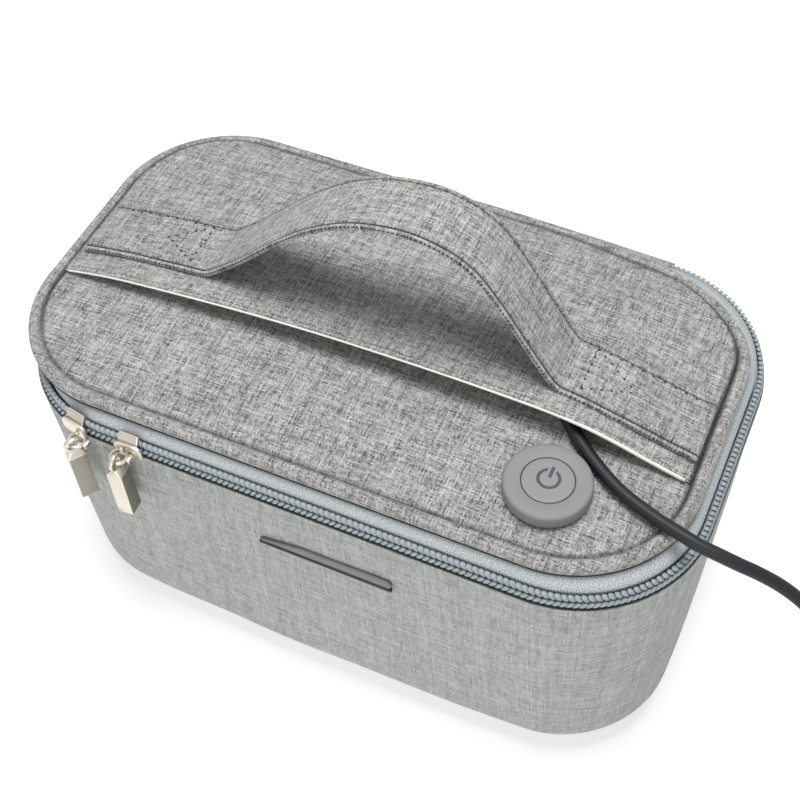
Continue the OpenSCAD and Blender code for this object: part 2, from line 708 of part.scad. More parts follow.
// The coil starts on its upper layer, winds in, drops a layer in half a turn
// and winds out again to the plug
half_run = (coil_turns - 0.5) / 2;
function coil_r(t) = t < half_run ? coil_out_r - coil_in * t / half_run
  : t < half_run + 0.5 ? coil_out_r - coil_in - coil_dip * sin(360 * (t - half_run))
  : coil_out_r - coil_in + coil_in * (t - half_run - 0.5) / half_run;
function coil_z(t) = t < half_run ? coil_high
  : t < half_run + 0.5 ? blend(coil_high, coil_low, t * 2 - 2 * half_run) : coil_low;
function coil_point(t) = [each coil_centre + coil_r(t) * compass(90 - 360 * t), coil_z(t)];
coil_steps = 24 * coil_turns;
coil_tail = coil_centre.y - coil_out_r;
plug_z = 4.1;
plug_start = [186, coil_tail - 2.2, plug_z];
coil_line = concat([[coil_centre.x - lead_d, -coil_tail + 2 * coil_centre.y, coil_high]],
  [for (i = [0 : coil_steps]) coil_point(i / 24)],
  [[coil_centre.x - 5, coil_tail - 0.2, coil_low + 0.2], [coil_centre.x - 10, coil_tail - 1.6, coil_low + 1.2],
   plug_start + [lead_d, 0, 0], plug_start]);
turn_gap = min([for (i = [1 : len(coil_line) - 14]) min([for (j = [i + 12 : len(coil_line) - 1])
  norm(coil_line[i] - coil_line[j])])]) - lead_d;
echo(least_gap_between_turns = turn_gap);

module lead_coil() {
  color(cord_black) stack(tube_rings(coil_line, lead_r, 6));
}

gland_turn = atan2(route[1].y - route[0].y, route[1].x - route[0].x);

module lead_gland() {
  color(cord_black) translate(gland_end) rotate([0, 0, gland_turn]) translate([-skim, 0, 0]) intersection() {
    rotate([0, -90, 0]) union() {
      cylinder(r = 4.4, h = 7);
      cylinder(r1 = 3, r2 = 4.6, h = 5);
      translate([0, 0, 7]) cylinder(r = 5.4, h = 3);
    }
    translate([-12, -7, -2.1]) cube([12, 14, 4.5]);
  }
}

overmould = [20, 15.6, 8];
boot = 9;
shell = [12, 12, 4.5];

module at_plug() {
  translate(plug_start) rotate([0, 0, 180]) children();
}

module plug_body() {
  color(cord_black) at_plug() difference() {
    union() {
      rotate([0, 90, 0]) cylinder(r1 = lead_r + 0.6, r2 = 3.6, h = boot + 0.5);
      translate([boot, 0, 0]) rotate([0, 90, 0]) linear_extrude(overmould.x)
        plan(overmould.z / 2, overmould.y / 2, 2.6);
    }
    translate([boot + overmould.x - 6, -shell.y / 2 - skim, -shell.z / 2 - skim])
      cube([10, shell.y + 2 * skim, shell.z + 2 * skim]);
  }
}

module plug_shell() {
  skin = 0.35;
  color(nickel) at_plug() translate([boot + overmould.x - 5.8, 0, 0]) difference() {
    translate([0, -shell.y / 2, -shell.z / 2]) cube([shell.x + 5.8, shell.y, shell.z]);
    translate([2, -shell.y / 2 + skin, -shell.z / 2 + skin])
      cube([20, shell.y - 2 * skin, shell.z - 2 * skin]);
    for (y = [-3, 3]) translate([boot + 5, y, 1]) translate([-1.2, -1.2, 0]) cube([2.4, 2.4, 4]);
  }
}

module plug_tongue() {
  color(cord_black) at_plug() translate([boot + overmould.x - 3.6, -shell.y / 2 + 0.5, -shell.z / 2 + 0.5])
    cube([shell.x + 2.6, shell.y - 1, 1.7]);
}

body_shell();
body_liner();
badge_plate();
hinge_lower();
lower_tape();
lower_teeth();
magnet_pod();
lid_panel();
lid_rim();
lid_liner();
upper_tape();
upper_teeth();
hinge_upper();
pocket_flap();
flap_edging();
handle_strap();
button_housing();
button_cap();
switch_plunger();
tact_switch();
control_board();
lamp_board();
lamp_chips();
lamp_lenses();
lid_sensor();
lead_gland();
slider_right();
slider_left();
pull_right();
pull_left();
lead();
lead_coil();
plug_body();
plug_shell();
plug_tongue();
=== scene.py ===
# %% [markdown]
# # A soft sterilizer case
#
# This notebook dresses a moulded cloth case: a zipped box with a domed lid, a
# pocket under a strap handle, a round push button and a black cable. The CAD
# model gives every piece its size and place. Blender gives each one its cloth,
# metal or plastic, and the softness that a CAD solid lacks.

import json
from math import copysign, cos, exp, hypot, pi, radians, sin, sqrt, tau

import bpy
from mathutils import Matrix, Vector, noise

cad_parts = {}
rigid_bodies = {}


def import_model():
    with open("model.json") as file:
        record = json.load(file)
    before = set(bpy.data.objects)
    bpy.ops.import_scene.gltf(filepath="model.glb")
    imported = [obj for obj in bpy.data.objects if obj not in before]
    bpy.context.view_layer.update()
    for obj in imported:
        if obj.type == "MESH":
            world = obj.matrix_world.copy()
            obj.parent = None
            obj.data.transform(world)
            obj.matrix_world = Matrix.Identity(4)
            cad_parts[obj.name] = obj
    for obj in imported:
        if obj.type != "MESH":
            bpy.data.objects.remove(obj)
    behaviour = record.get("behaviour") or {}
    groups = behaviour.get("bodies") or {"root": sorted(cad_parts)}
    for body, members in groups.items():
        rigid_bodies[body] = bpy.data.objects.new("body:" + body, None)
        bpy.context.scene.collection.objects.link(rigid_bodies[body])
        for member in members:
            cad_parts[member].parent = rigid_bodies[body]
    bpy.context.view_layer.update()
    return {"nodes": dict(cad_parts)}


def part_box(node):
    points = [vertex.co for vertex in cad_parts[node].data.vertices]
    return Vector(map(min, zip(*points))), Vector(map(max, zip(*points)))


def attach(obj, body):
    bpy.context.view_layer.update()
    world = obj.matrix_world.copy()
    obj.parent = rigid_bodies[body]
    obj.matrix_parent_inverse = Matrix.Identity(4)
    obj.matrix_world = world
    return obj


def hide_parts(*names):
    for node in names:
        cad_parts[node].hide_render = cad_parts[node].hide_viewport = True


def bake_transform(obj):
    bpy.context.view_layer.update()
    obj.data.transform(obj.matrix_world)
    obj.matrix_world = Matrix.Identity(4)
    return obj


for leftover in list(bpy.data.objects):
    bpy.data.objects.remove(leftover)
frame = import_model()
MM = 0.001
# Vector noise starts from the clock unless it has a seed, and every run has to give the same shapes.
noise.seed_set(3)

# %% [markdown]
# ## The camera
#
# The photograph was taken from above and a little to the right of the front.
# The camera could be tuned by eye, but its place, turn and lens were worked out
# from the straight edges and corners that the picture shows, so that pieces at
# their real sizes fall where the picture has them.

# %% Camera
scene = bpy.context.scene
camera = bpy.data.objects.new("camera", bpy.data.cameras.new("camera"))
scene.collection.objects.link(camera)
scene.camera = camera
camera_right = Vector((0.9107, 0.4122, -0.0269))
camera_back = Vector((0.2690, -0.5424, 0.7959))
camera_up = camera_back.cross(camera_right).normalized()
camera_right = camera_up.cross(camera_back).normalized()
turn = Matrix((camera_right, camera_up, camera_back.normalized())).transposed()
camera_at = Vector((131.2, -263.2, 469.7))
camera.matrix_world = Matrix.Translation(camera_at * MM) @ turn.to_4x4()
camera.data.sensor_width = 36
camera.data.lens = 60.62
camera.data.clip_start, camera.data.clip_end = 0.01, 20
print("lens", camera.data.lens, "mm")

# %% [markdown]
# ## Small tools
#
# A few helpers keep the later cells short. Colours are written as the sRGB hex
# values a colour picker shows, and Blender wants linear numbers, so one
# function turns them. Another adds one shader node with its settings and
# links. Cloth, cords and stitches follow rules, so a third makes a mesh from
# the points that a rule gives.

# %% Colours and shader nodes
def linear(code):
    """The linear colour of an sRGB hex code."""
    parts = [int(code[i : i + 2], 16) / 255 for i in (1, 3, 5)]
    return (*[p / 12.92 if p <= 0.04045 else ((p + 0.055) / 1.055) ** 2.4 for p in parts], 1)


def result(node):
    """The output that a node is used for: the third of a colour mix, the first of any other."""
    colour_mix = node.bl_idname == "ShaderNodeMix" and node.data_type == "RGBA"
    return node.outputs[2 if colour_mix else 0]


def add(owner, kind, at=None, into=None, **inputs):
    """One shader node of a material or of the world.

    `at` holds its settings, or names its operation. `into` names the socket of the surface that
    it feeds. The rest are its own sockets, each a value, a hex colour, a socket or a node.
    """
    tree = owner.node_tree
    made = tree.nodes.new("ShaderNode" + kind)
    settings = {"operation": at} if isinstance(at, str) else at or {}
    for name, value in settings.items():
        setattr(made, name, value)
    for name, value in inputs.items():
        numbered = name[0] == "i" and name[1:].isdigit()
        socket = made.inputs[int(name[1:]) if numbered else name.replace("_", " ")]
        if isinstance(value, bpy.types.Node):
            value = result(value)
        if isinstance(value, bpy.types.NodeSocket):
            tree.links.new(value, socket)
        else:
            socket.default_value = linear(value) if isinstance(value, str) else value
    if into:
        surface = tree.nodes.get("Principled BSDF") or tree.nodes["Background"]
        tree.links.new(result(made), surface.inputs[into])
    return made


def finish(name, **sockets):
    """A new material whose surface has the given constants; a colour is a hex code."""
    made = bpy.data.materials.new(name)
    made.use_nodes = True
    shader = made.node_tree.nodes["Principled BSDF"]
    for key, value in sockets.items():
        value = linear(value) if isinstance(value, str) else value
        shader.inputs[key.replace("_", " ")].default_value = value
    return made


COLOUR = {"data_type": "RGBA"}
print("white is", linear("#ffffff")[0])


# %% Meshes and lines
def clamp(x):
    """The number, kept between 0 and 1."""
    return min(1, max(0, x))


def distances(line):
    """How far each point of a line is from its first, along the line."""
    far = [0.0]
    for a, b in zip(line, line[1:]):
        far.append(far[-1] + (b - a).length)
    return far


def from_points(name, points, faces, corners=None, layer="cloth"):
    """A smooth piece from points in millimetres; corners is the UV map of each face, in millimetres too."""
    mesh = bpy.data.meshes.new(name)
    mesh.from_pydata([p * MM for p in points], [], faces)
    if corners:
        uv = mesh.uv_layers.new(name=layer).data
        for polygon, places in zip(mesh.polygons, corners):
            for loop, (u, v) in zip(polygon.loop_indices, places):
                uv[loop].uv = (u * MM, v * MM)
    made = bpy.data.objects.new(name, mesh)
    scene.collection.objects.link(made)
    mesh.shade_smooth()
    print(name, len(faces), "faces")
    return made


# %% [markdown]
# ## The cable
#
# The black cable leaves a gland under the pocket flap, passes the button and
# falls over the front right corner. What the photograph doesn't show is wound
# into a flat coil just outside the view. A cable could be a curve with a bevel,
# but this one has to bend when the lid opens, so it is a mesh from the start.

# %% The cable's route, in millimetres as in the CAD model
lead_d = 4.3
coil_mid = Vector((204, -48))
coil_pitch = lead_d + 0.5
turns = 2.5
coil_in = turns * coil_pitch
coil_out_r = 5.5 * lead_d + coil_in / 2
coil_low = lead_d / 2 + 0.05
coil_high = coil_low + coil_pitch
coil_y = coil_mid.y + coil_out_r
route = [
    (47, 7, 129.869), (51, 2, 129.7), (57, -5.5, 129.4), (67.5, -17, 128.5), (78, -26.5, 127.5),
    (90.5, -34.5, 126.6), (103, -39.4, 126.4), (112, -42, 126.5), (118, -43.2, 126), (125, -43.3, 124.6),
    (131, -42.8, 122.6), (137, -41.8, 120), (144, -40.9, 116.3), (151, -40.6, 111.5),
    (157, -39.5, 104), (162.5, -37.5, 94), (167, -34.5, 81), (170.5, -31, 67),
    (174, -28, 53), (177.5, -25, 39.5), (180.6, -22.5, 27.5), (184, -20.6, 17.6), (187.6, -19.4, 11.6),
    (191.4, -18.6, 8.2), (195.4, coil_y, coil_high), (197.5, coil_y, coil_high),
    (coil_mid.x - lead_d, coil_y, coil_high),
]


def spline(points, steps):
    """A smooth line through points, with a few steps between each two."""
    p = [Vector(v) for v in points]
    line = []
    for i in range(len(p) - 1):
        a, b, c, d = p[max(0, i - 1)], p[i], p[i + 1], p[min(len(p) - 1, i + 2)]
        for k in range(steps):
            t = k / steps
            line.append(0.5 * (2 * b + (c - a) * t + (2 * a - 5 * b + 4 * c - d) * t * t
                               + (3 * b - a - 3 * c + d) * t * t * t))
    return line + [p[-1]]


def coil_point(t):
    """The coil's centreline after t turns: it winds in, drops over half a turn and winds out again."""
    if t < turns:
        r, z = coil_out_r - coil_in * t / turns, coil_high
    elif t < turns + 0.5:
        r = coil_out_r - coil_in - 0.3 * lead_d * sin(tau * (t - turns))
        z = coil_high + (coil_low - coil_high) * (t - turns) * 2
    else:
        r, z = coil_out_r - coil_in + coil_in * (t - turns - 0.5) / turns, coil_low
    a = tau * (0.25 - t)
    return Vector((coil_mid.x + r * cos(a), coil_mid.y + r * sin(a), z))


coil_end, coil_steps = 2 * turns + 0.5, 40
coil_tail = coil_mid.y - coil_out_r
plug_start = Vector((186, coil_tail - 2.2, 4.1))
cable_line = spline(route, 4) + [coil_point(i / coil_steps) for i in range(int(coil_end * coil_steps) + 1)]
cable_line += spline([coil_point(coil_end), (coil_mid.x - 5, coil_tail - 0.2, coil_low + 0.2),
                      (coil_mid.x - 10, coil_tail - 1.6, coil_low + 1.2),
                      plug_start + Vector((lead_d, 0, 0)), plug_start], 3)[1:]


# %% Tubes
def hose(name, rings, corners=None):
    """A closed tube through rings of points."""
    sides, faces = len(rings[0]), []
    for i in range(len(rings) - 1):
        for k in range(sides):
            j = (k + 1) % sides
            faces.append((i * sides + k, i * sides + j, (i + 1) * sides + j, (i + 1) * sides + k))
    faces += [tuple(range(sides))[::-1], tuple((len(rings) - 1) * sides + k for k in range(sides))]
    return from_points(name, [p for ring in rings for p in ring], faces, corners, "around")


def tube(name, line, diameter, sides=14):
    """A round tube along a line; its UV map holds the length, and one metre for a turn."""
    side, rings, corners = None, [], []
    for i, p in enumerate(line):
        ahead = (line[min(len(line) - 1, i + 1)] - line[max(0, i - 1)]).normalized()
        side = ahead.cross(Vector((0, 0, 1))) if side is None else side - ahead * side.dot(ahead)
        side = side.normalized()
        up = side.cross(ahead)
        rings.append([p + diameter / 2 * (cos(a) * side + sin(a) * up)
                      for a in [tau * k / sides for k in range(sides)]])
    far = distances(line)
    for a, b in zip(far, far[1:]):
        for k in range(sides):
            low, high = [turn / sides / MM for turn in (k, k + 1)]
            corners.append([(a, low), (a, high), (b, high), (b, low)])
    corners += [[(0, 0)] * sides, [(far[-1], 0)] * sides]
    return hose(name, rings, corners)


cable = tube("cable", cable_line, lead_d)

# %% [markdown]
# ## Cloth on rings
#
# The body, the lid and the zip tapes are cloth drawn over soft forms, all with
# the same rounded plan. They could be blocks with rounded edges, but a lofted
# skin follows the real section: rings of points run round the case, and each
# ring has its own height and inset. The skin also gets a UV map in metres, so
# that threads keep their size on every face.

# %% The rounded plan
zip_hl, zip_hd, zip_r = 120.2, 73, 46
LONG, SHORT, CORNER = 28, 14, 22


def plan(hl, hd, r, z, bow=0.0, mid=(0.0, 0.0)):
    """One ring round a rounded rectangle, anticlockwise from the middle of the back."""
    r = max(0.05, min(r, hl - 0.02, hd - 0.02))
    ring = [Vector((-(hl - r) * i / (LONG // 2), hd)) for i in range(LONG // 2)]
    side_ends = (Vector((-hl, -(hd - r))), Vector((hl - r, -hd)), Vector((hl, hd - r)), Vector((0, hd)))
    side_steps = (SHORT, LONG, SHORT, LONG // 2)
    for q, (sx, sy) in enumerate(((-1, 1), (-1, -1), (1, -1), (1, 1))):
        centre = Vector((sx * (hl - r), sy * (hd - r)))
        ring += [centre + r * Vector((cos(a), sin(a)))
                 for a in [pi / 2 * (1 + q + i / CORNER) for i in range(CORNER + 1)]]
        last = ring[-1]
        ring += [last.lerp(side_ends[q], i / side_steps[q]) for i in range(1, side_steps[q])]
    return [Vector((mid[0] + p.x + copysign(bow * (1 - (p.y / hd) ** 2), p.x) * (abs(p.x) > 1e-6),
                    mid[1] + p.y + copysign(bow * (1 - (p.x / hl) ** 2), p.y), z)) for p in ring]


def body_ring(inset, z, sharper=0.0, bow=0.0):
    """The body's plan at the zip line, set in, with corners that may be sharper and sides that may bow."""
    return plan(zip_hl - inset, zip_hd - inset, zip_r - inset - sharper, z, bow)


def skin(name, rings, uv, span=None):
    """A closed skin through rings of points; uv gives its map at ring i, point j.

    With a `span`, from one point of each ring to another, it is a band: its last ring joins its
    first, and its two ends are closed.
    """
    count, rows = len(rings[0]), len(rings)
    columns = list(range(span[0], span[1] + 1)) if span else list(range(count))
    width = len(columns)
    points = [ring[j % count] for ring in rings for j in columns]
    faces, corners = [], []
    for i in range(rows if span else rows - 1):
        n = (i + 1) % rows
        for c in range(width - 1 if span else width):
            d = (c + 1) % width
            j = columns[c]
            faces.append((i * width + c, i * width + d, n * width + d, n * width + c))
            corners.append([uv(i, j), uv(i, j + 1), uv(i + 1, j + 1), uv(i + 1, j)])
    if span:
        for c, order in ((0, 1), (width - 1, -1)):
            faces.append([i * width + c for i in range(rows)][::order])
            corners.append([uv(i, columns[c]) for i in range(rows)][::order])
        return from_points(name, points, faces, corners)
    for i, order in ((0, -1), (rows - 1, 1)):
        mid = sum(rings[i], Vector((0, 0, 0))) / count
        points.append(mid)
        for c in range(width):
            pair = [c, (c + 1) % width][::order]
            faces.append((len(points) - 1, *[i * width + k for k in pair]))
            corners.append([p.to_2d() for p in (mid, *[rings[i][k] for k in pair])])
    return from_points(name, points, faces, corners)


zip_line = body_ring(0, 0)
rim_run = distances(zip_line + zip_line[:1])
around = len(zip_line)
print("the zip line is", round(rim_run[-1]), "mm round with", around, "points")

# %% [markdown]
# ## The body
#
# The lower box is a moulded shell with cloth bonded to it. Its corners draw in
# towards the base, its walls bow out a little, and a wide soft radius runs
# round the foot. The rings follow that section, over the top edge and down the
# inside, and a little noise keeps the walls from looking machined.

# %% Body of moulded cloth
body_top, foot_r, wall = 110.6, 18.5, 3.4
# At the foot the walls have drawn in, their corners are sharper and their sides bow out, by so much.
draw_in, foot_sharper, foot_bow = 5.4, 4.5, 4


def wall_ring(inset, z):
    """A ring of the body's wall, set in from its outer face."""
    t = (body_top - z) / (body_top - foot_r)
    return body_ring(draw_in * t + inset, z, foot_sharper * t, foot_bow * t)


def foot_ring(inset, angle):
    """A ring of the rounded foot: 90 degrees lies flat on the table, 0 stands upright."""
    r = foot_r - inset
    flat = draw_in + inset + r * (1 - cos(radians(angle)))
    return body_ring(flat, inset + r * (1 - sin(radians(angle))), foot_sharper, foot_bow)


def flat_rings(ring, shares):
    """Rings inside a flat ring, for a floor."""
    mid = sum(ring, Vector((0, 0, 0))) / len(ring)
    return [[mid + (p - mid) * s for p in ring] for s in shares]


def softened(rings, amount, size, keep):
    """The same rings with a gentle unevenness, as cloth over a mould has, where `keep` lets it be."""
    for ring in rings:
        for k, p in enumerate(ring):
            push = noise.noise_vector(p / size) * amount * keep(p)
            ring[k] = p + Vector((push.x, push.y, push.z * 0.3))
    return rings


floor_shares = (0.3, 0.6, 0.85)
foot_turns = (0, 22, 45, 68, 90)
levels = [foot_r + (body_top - 1 - foot_r) * i / 12 for i in range(1, 13)]
outer = flat_rings(foot_ring(0, 90), floor_shares) + [foot_ring(0, 90 - 7.5 * i) for i in range(13)]
outer += [wall_ring(0, z) for z in levels]
outer = softened(outer, 0.55, 34, lambda p: clamp((108 - p.z) / 25) * min(1, p.z / 10))
lip = [body_ring(inset, z) for inset, z in
       ((0.05, 110), (0.35, 110.45), (0.8, body_top), (1.7, 110.55), (2.2, 110.1), (2.2, 102.8))]
inner = [wall_ring(wall, z) for z in (101.5, 80, 50, foot_r)] + [foot_ring(wall, a) for a in foot_turns]
inner += flat_rings(foot_ring(wall, 90), (0.5,))
body_rings = outer + lip + inner
body_down = distances([ring[0] for ring in body_rings])


def body_uv(i, j):
    """The map lies flat under the floor and runs round the walls."""
    if i <= len(floor_shares):
        return body_rings[i][j % around].to_2d()
    return rim_run[j], body_down[i]


body_cloth = skin("body_cloth", body_rings, body_uv)

# %% [markdown]
# ## The lid
#
# One cloth covers the lid. It starts under the edge, rolls over a padded rim,
# dips into the seam line and rises over the dome. A separate rim would leave a
# hard joint that the real lid hasn't, so rim and dome are one skin. A vertex
# attribute marks the seams, and the cloth's material darkens them with painted shade.

# %% Lid cloth
lid_mid = Vector((-4.3, 0.2))
panel_hl, panel_hd, panel_r = 114.0, 62.7, 37.9
seam_z, dome_rise, rim_out = 122.6, 6, 4.6
button = Vector((70, -41.5))


def rounder(p, share=1.0):
    """The lid's rear right corner is rounder than the others, so points near it move in."""
    along = exp(-(((p.x - 86) / 33) ** 2))
    back = clamp((p.y - 28) / 27)
    move = 5.2 * share * along * back * back * (3 - 2 * back)
    return p - Vector((0.3 * move, 0.95 * move, 0))


def lid_top(x, y):
    """Height of the domed lid."""
    along, back = (x - lid_mid.x) / panel_hl, (y - lid_mid.y) / panel_hd
    return seam_z + dome_rise * max(0, 1 - along**2) * max(0, 1 - back**2)


def lid_ring(out, z):
    """A ring of the lid, set out from the seam between rim and dome; z may be a number or a rule."""
    ring = plan(panel_hl + out, panel_hd + out, panel_r + out, 0, 0, lid_mid)
    return [rounder(Vector((p.x, p.y, z(p.x, p.y) if callable(z) else z))) for p in ring]


def dome(x, y):
    """The lid's top with the faint moulded step round the button's seat."""
    away = (Vector((x, y)) - button).length
    return lid_top(x, y) - 0.45 * exp(-((away - 18.2) / 1.5) ** 2)


under = [lid_ring(-o, lambda x, y: lid_top(x, y) - 3.2) for o in (60, 40, 22, 10)]
under += [lid_ring(o, z) for o, z in ((-8.5, 118.9), (-1, 118.8), (1.5, 118.8), (3, 118.9))]
roll = [(3.75, 119.15), (4.3, 119.8), (4.6, 120.6), (4.68, 121.4), (4.5, 122.3), (4.05, 123.05), (3.3, 123.6),
        (2.4, 123.85), (1.6, 123.75), (0.9, 123.35), (0.45, 122.8), (0.15, 122.3), (-0.1, 122.05)]
edge = [lid_ring(o, z) for o, z in roll]
seam_dip = ((0.4, 0.4), (0.8, 0.1), (1.6, 0), (3, 0), (5, 0), (7, 0))
over = [lid_ring(-o, lambda x, y, d=d: dome(x, y) - d) for o, d in seam_dip]
insets = [*range(9, 22, 2), *[23.5 + 2.5 * k for k in range(8)], 44, 47, 50, 54, 57, 60, 62]
over += [lid_ring(-o, dome) for o in insets]
over = softened(over, 0.3, 22, lambda p: clamp((panel_hd - abs(p.y - lid_mid.y)) / 8))
lid_rings = under + edge + over
seam_at = len(under) + len(roll) - 1
rolled = distances([ring[0] for ring in lid_rings[seam_at::-1]])[::-1]


def lid_uv(i, j):
    """The map lies flat on the dome and runs out straight over the rolled rim."""
    p, q = lid_rings[i][j % around], lid_rings[seam_at][j % around]
    if i >= seam_at:
        return p.to_2d()
    out = (p - q).to_2d()
    if i <= len(under) or out.length <= 0.3:
        out = (lid_rings[seam_at - 8][j % around] - q).to_2d()
    return q.to_2d() + out.normalized() * rolled[i]


lid_cloth = skin("lid_cloth", lid_rings, lid_uv)


def mark_seams_and_shade(piece, marks):
    """How dark each point of a piece is painted, at its seams and as painted shade; marks is a list or a rule
    on a place in millimetres.
    """
    if callable(marks):
        marks = [marks(v.co / MM) for v in piece.data.vertices]
    piece.data.attributes.new("seam", "FLOAT", "POINT").data.foreach_set("value", marks)


# Painted shade in the groove between rim and dome, stronger at the back and the sides than at the front; the
# seam's dark stitching adds to it.
lid_seam_shade = []
for i, ring in enumerate(lid_rings):
    near = len(under) <= i <= seam_at + 8
    gap = hypot(*(ring[80] - lid_rings[seam_at][80]).to_2d()) if near else 9.0
    lid_seam_shade += [exp(-(gap / 0.8) ** 2) * (0.6 + 0.4 * clamp((p.y + 50) / 20)) for p in ring]
lid_seam_shade += [0.0] * (len(lid_cloth.data.vertices) - len(lid_seam_shade))
mark_seams_and_shade(lid_cloth, lid_seam_shade)
# The body's top edge under the zip's teeth is darkened to near black: painted shade in the gap.
mark_seams_and_shade(body_cloth, lambda p: clamp((p.z - 110.1) / 0.35))

# %% [markdown]
# ## The pocket flap
#
# A sheet of cloth covers most of the lid as a pocket, sewn in at the left, the
# right and the back. Its front edge is the mouth and stands a little open. A
# cloth simulation could hang it, but it is stretched over the lid and hardly
# moves, so its height is written as a rule: low at the seams, high at the mouth.

# %% Pocket flap
mouth_y = -21.6
flap_end = lid_mid.y + panel_hd - 0.4


def panel_reach(y):
    """Half the length of the domed panel at that depth."""
    over_corner = abs(y - lid_mid.y) - (panel_hd - panel_r)
    return panel_hl if over_corner <= 0 else panel_hl - panel_r + sqrt(max(0, panel_r**2 - over_corner**2))


# How far the mouth gapes, from its left end to its right: it rises slowly and drops fast.
gape = [(-118.5, 0.2), (-108, 1.9), (-95, 3.4), (-78, 4.4), (-60, 5.4), (-40, 6.4), (-18, 7.3), (12, 8.0),
        (40, 8.5), (60, 8.6), (72, 7.9), (83, 6.0), (95, 3.0), (104, 1.0), (110, 0.1)]
gape_line = spline([(x, 0, z) for x, z in gape], 4)


def mouth_lift(x):
    """The gape at a place along the mouth."""
    for a, b in zip(gape_line, gape_line[1:]):
        if x <= b.x:
            return max(0, a.z + (b.z - a.z) * max(0, (x - a.x) / (b.x - a.x)))
    return 0.0


def flap_over(x, y):
    """Height of the flap's outer face."""
    back = lid_mid.y + panel_hd - 1
    return lid_top(x, y) + 1.5 + mouth_lift(x) * max(0, (back - y) / (back - mouth_y)) ** 0.8


def sheet(name, rows, uv):
    """A closed sheet between two faces, given as rows of (outer, inner) points."""
    wide, deep = len(rows[0]), len(rows)
    points = [p[side] for side in (0, 1) for row in rows for p in row]
    half = wide * deep
    faces, corners = [], []
    for i in range(deep - 1):
        for j in range(wide - 1):
            quad = [(i, j), (i, j + 1), (i + 1, j + 1), (i + 1, j)]
            faces += [[a * wide + b for a, b in quad], [half + a * wide + b for a, b in quad[::-1]]]
            corners += [quad, quad[::-1]]
    border = [(0, j) for j in range(wide)] + [(i, wide - 1) for i in range(1, deep)]
    border += [(deep - 1, j) for j in range(wide - 2, -1, -1)] + [(i, 0) for i in range(deep - 2, 0, -1)]
    for (a, b), (c, d) in zip(border, border[1:] + border[:1]):
        faces.append([c * wide + d, a * wide + b, half + a * wide + b, half + c * wide + d])
        corners.append([(c, d), (a, b), (a, b), (c, d)])
    return from_points(name, points, faces, [[uv(i, j) for i, j in places] for places in corners])


# Rows are evenly spaced in depth, and places along a row lie closer together near the seams.
depths = [mouth_y + (flap_end - mouth_y) * (i / 44) for i in range(45)]
shares = [sin(pi / 2 * (k / 60 - 1)) for k in range(121)]
flap_rows, flap_seam_shade = [], []
for y in depths:
    row = []
    for share in shares:
        x = lid_mid.x + share * (panel_reach(y) - 0.35)
        loose = min(1, (1 - abs(share)) * 12) * min(1, (flap_end + 0.3 - y) / 3)
        wave = 0.35 * noise.noise(Vector((x / 30, y / 22, 3.1)))
        wave += 0.12 * noise.noise(Vector((x / 9, y / 9, 8)))
        z = flap_over(x, y) + wave * loose
        row.append([rounder(Vector((x, y, height))) for height in (z, max(z - 1.2, lid_top(x, y) + 0.1))])
        # Where the flap is sewn into the groove at the sides and the back, its cloth is darkened with painted
        # shade.
        from_side, from_back = panel_reach(y) * (1 - abs(share)), flap_end + 0.2 - y
        flap_seam_shade.append(max(exp(-from_side**2), exp(-((from_back / 0.9) ** 2))))
    flap_rows.append(row)
pocket_flap = sheet("pocket_flap_cloth", flap_rows, lambda i, j: flap_rows[i][j][0].to_2d())
mark_seams_and_shade(pocket_flap, flap_seam_shade * 2)

# %% The edging of the mouth
edging_r, edging_steps = 0.62, 150
reach = panel_reach(mouth_y) - 2.2
edging_rings = []
for i in range(edging_steps + 1):
    x = lid_mid.x + reach * (2 * i / edging_steps - 1)
    z = flap_over(x, mouth_y) - edging_r
    thick = 0.42 + 0.3 * clamp((x - 30) / 50)
    edging_rings.append([Vector((x, mouth_y + 0.15 - edging_r * cos(a), z + thick * sin(a)))
                         for a in [radians(45 * k) for k in range(8)]])
edging = hose("mouth_edging", edging_rings)

# %% [markdown]
# ## The strap handle
#
# The handle is two layers of the same cloth sewn along both edges, with a thin
# raised piping between two rows of stitches. It is sewn flat at each foot and
# arches over the pocket. A flat ribbon would look like paper, so its section is
# drawn with the valleys of the stitch rows and the ridge of the piping.

# %% Strap
arch = [(-66, 0.03), (-58, 0.14), (-48, 0.32), (-36, 0.55), (-22, 0.78), (-7, 0.94), (9, 1), (22, 0.965),
        (32, 0.86), (40, 0.68), (47, 0.48), (54, 0.28), (61, 0.1), (67, 0.01)]
arch_foot, arch_rise = 131, 50.6
strap_mid, strap_half, strap_thick = -0.5, 12.0, 2.4
piping, stitch_in = 1.7, 10.25


def strap_y(x):
    """The strap's middle line: its right foot is sewn on a little further forward than its left."""
    return strap_mid - 2.2 * clamp((x - 30) / 50)


def at_rest(x, z=0.0):
    """A point of the strap's line, no lower than where it lies on the flap."""
    return Vector((x, 0, max(z, flap_over(x, strap_mid) + 0.3)))


anchors = [at_rest(x) for x in (-115, -108, -100, -92, -84, -76)]
anchors += [at_rest(x, arch_foot + share * arch_rise) for x, share in arch]
anchors += [at_rest(x) for x in (75, 83, 91, 100, 108.8)]
strap_line = [at_rest(p.x, p.z) for p in spline(anchors, 6)]
strap_run = distances(strap_line)


def relief(y):
    """Height of the strap's face across its width: piping at its edge, a stitched valley and the body."""
    e = strap_half - abs(y)
    if e < piping:
        return 0.15 + 0.8 * sqrt(max(0.0, 1 - ((e - piping / 2) / (piping / 2)) ** 2))
    return 0.35 + 0.85 * (1 - exp(-((e - piping) / 0.7) ** 1.5))


def strap_frame(k):
    """Centre and outward direction at a point of the strap's line."""
    ahead = (strap_line[min(len(strap_line) - 1, k + 1)] - strap_line[max(0, k - 1)]).normalized()
    up = Vector((0, -1, 0)).cross(ahead).normalized()
    up = up if up.z > 0 or abs(up.z) < 0.02 else -up
    return strap_line[k] + Vector((0, strap_y(strap_line[k].x), strap_thick / 2)), up


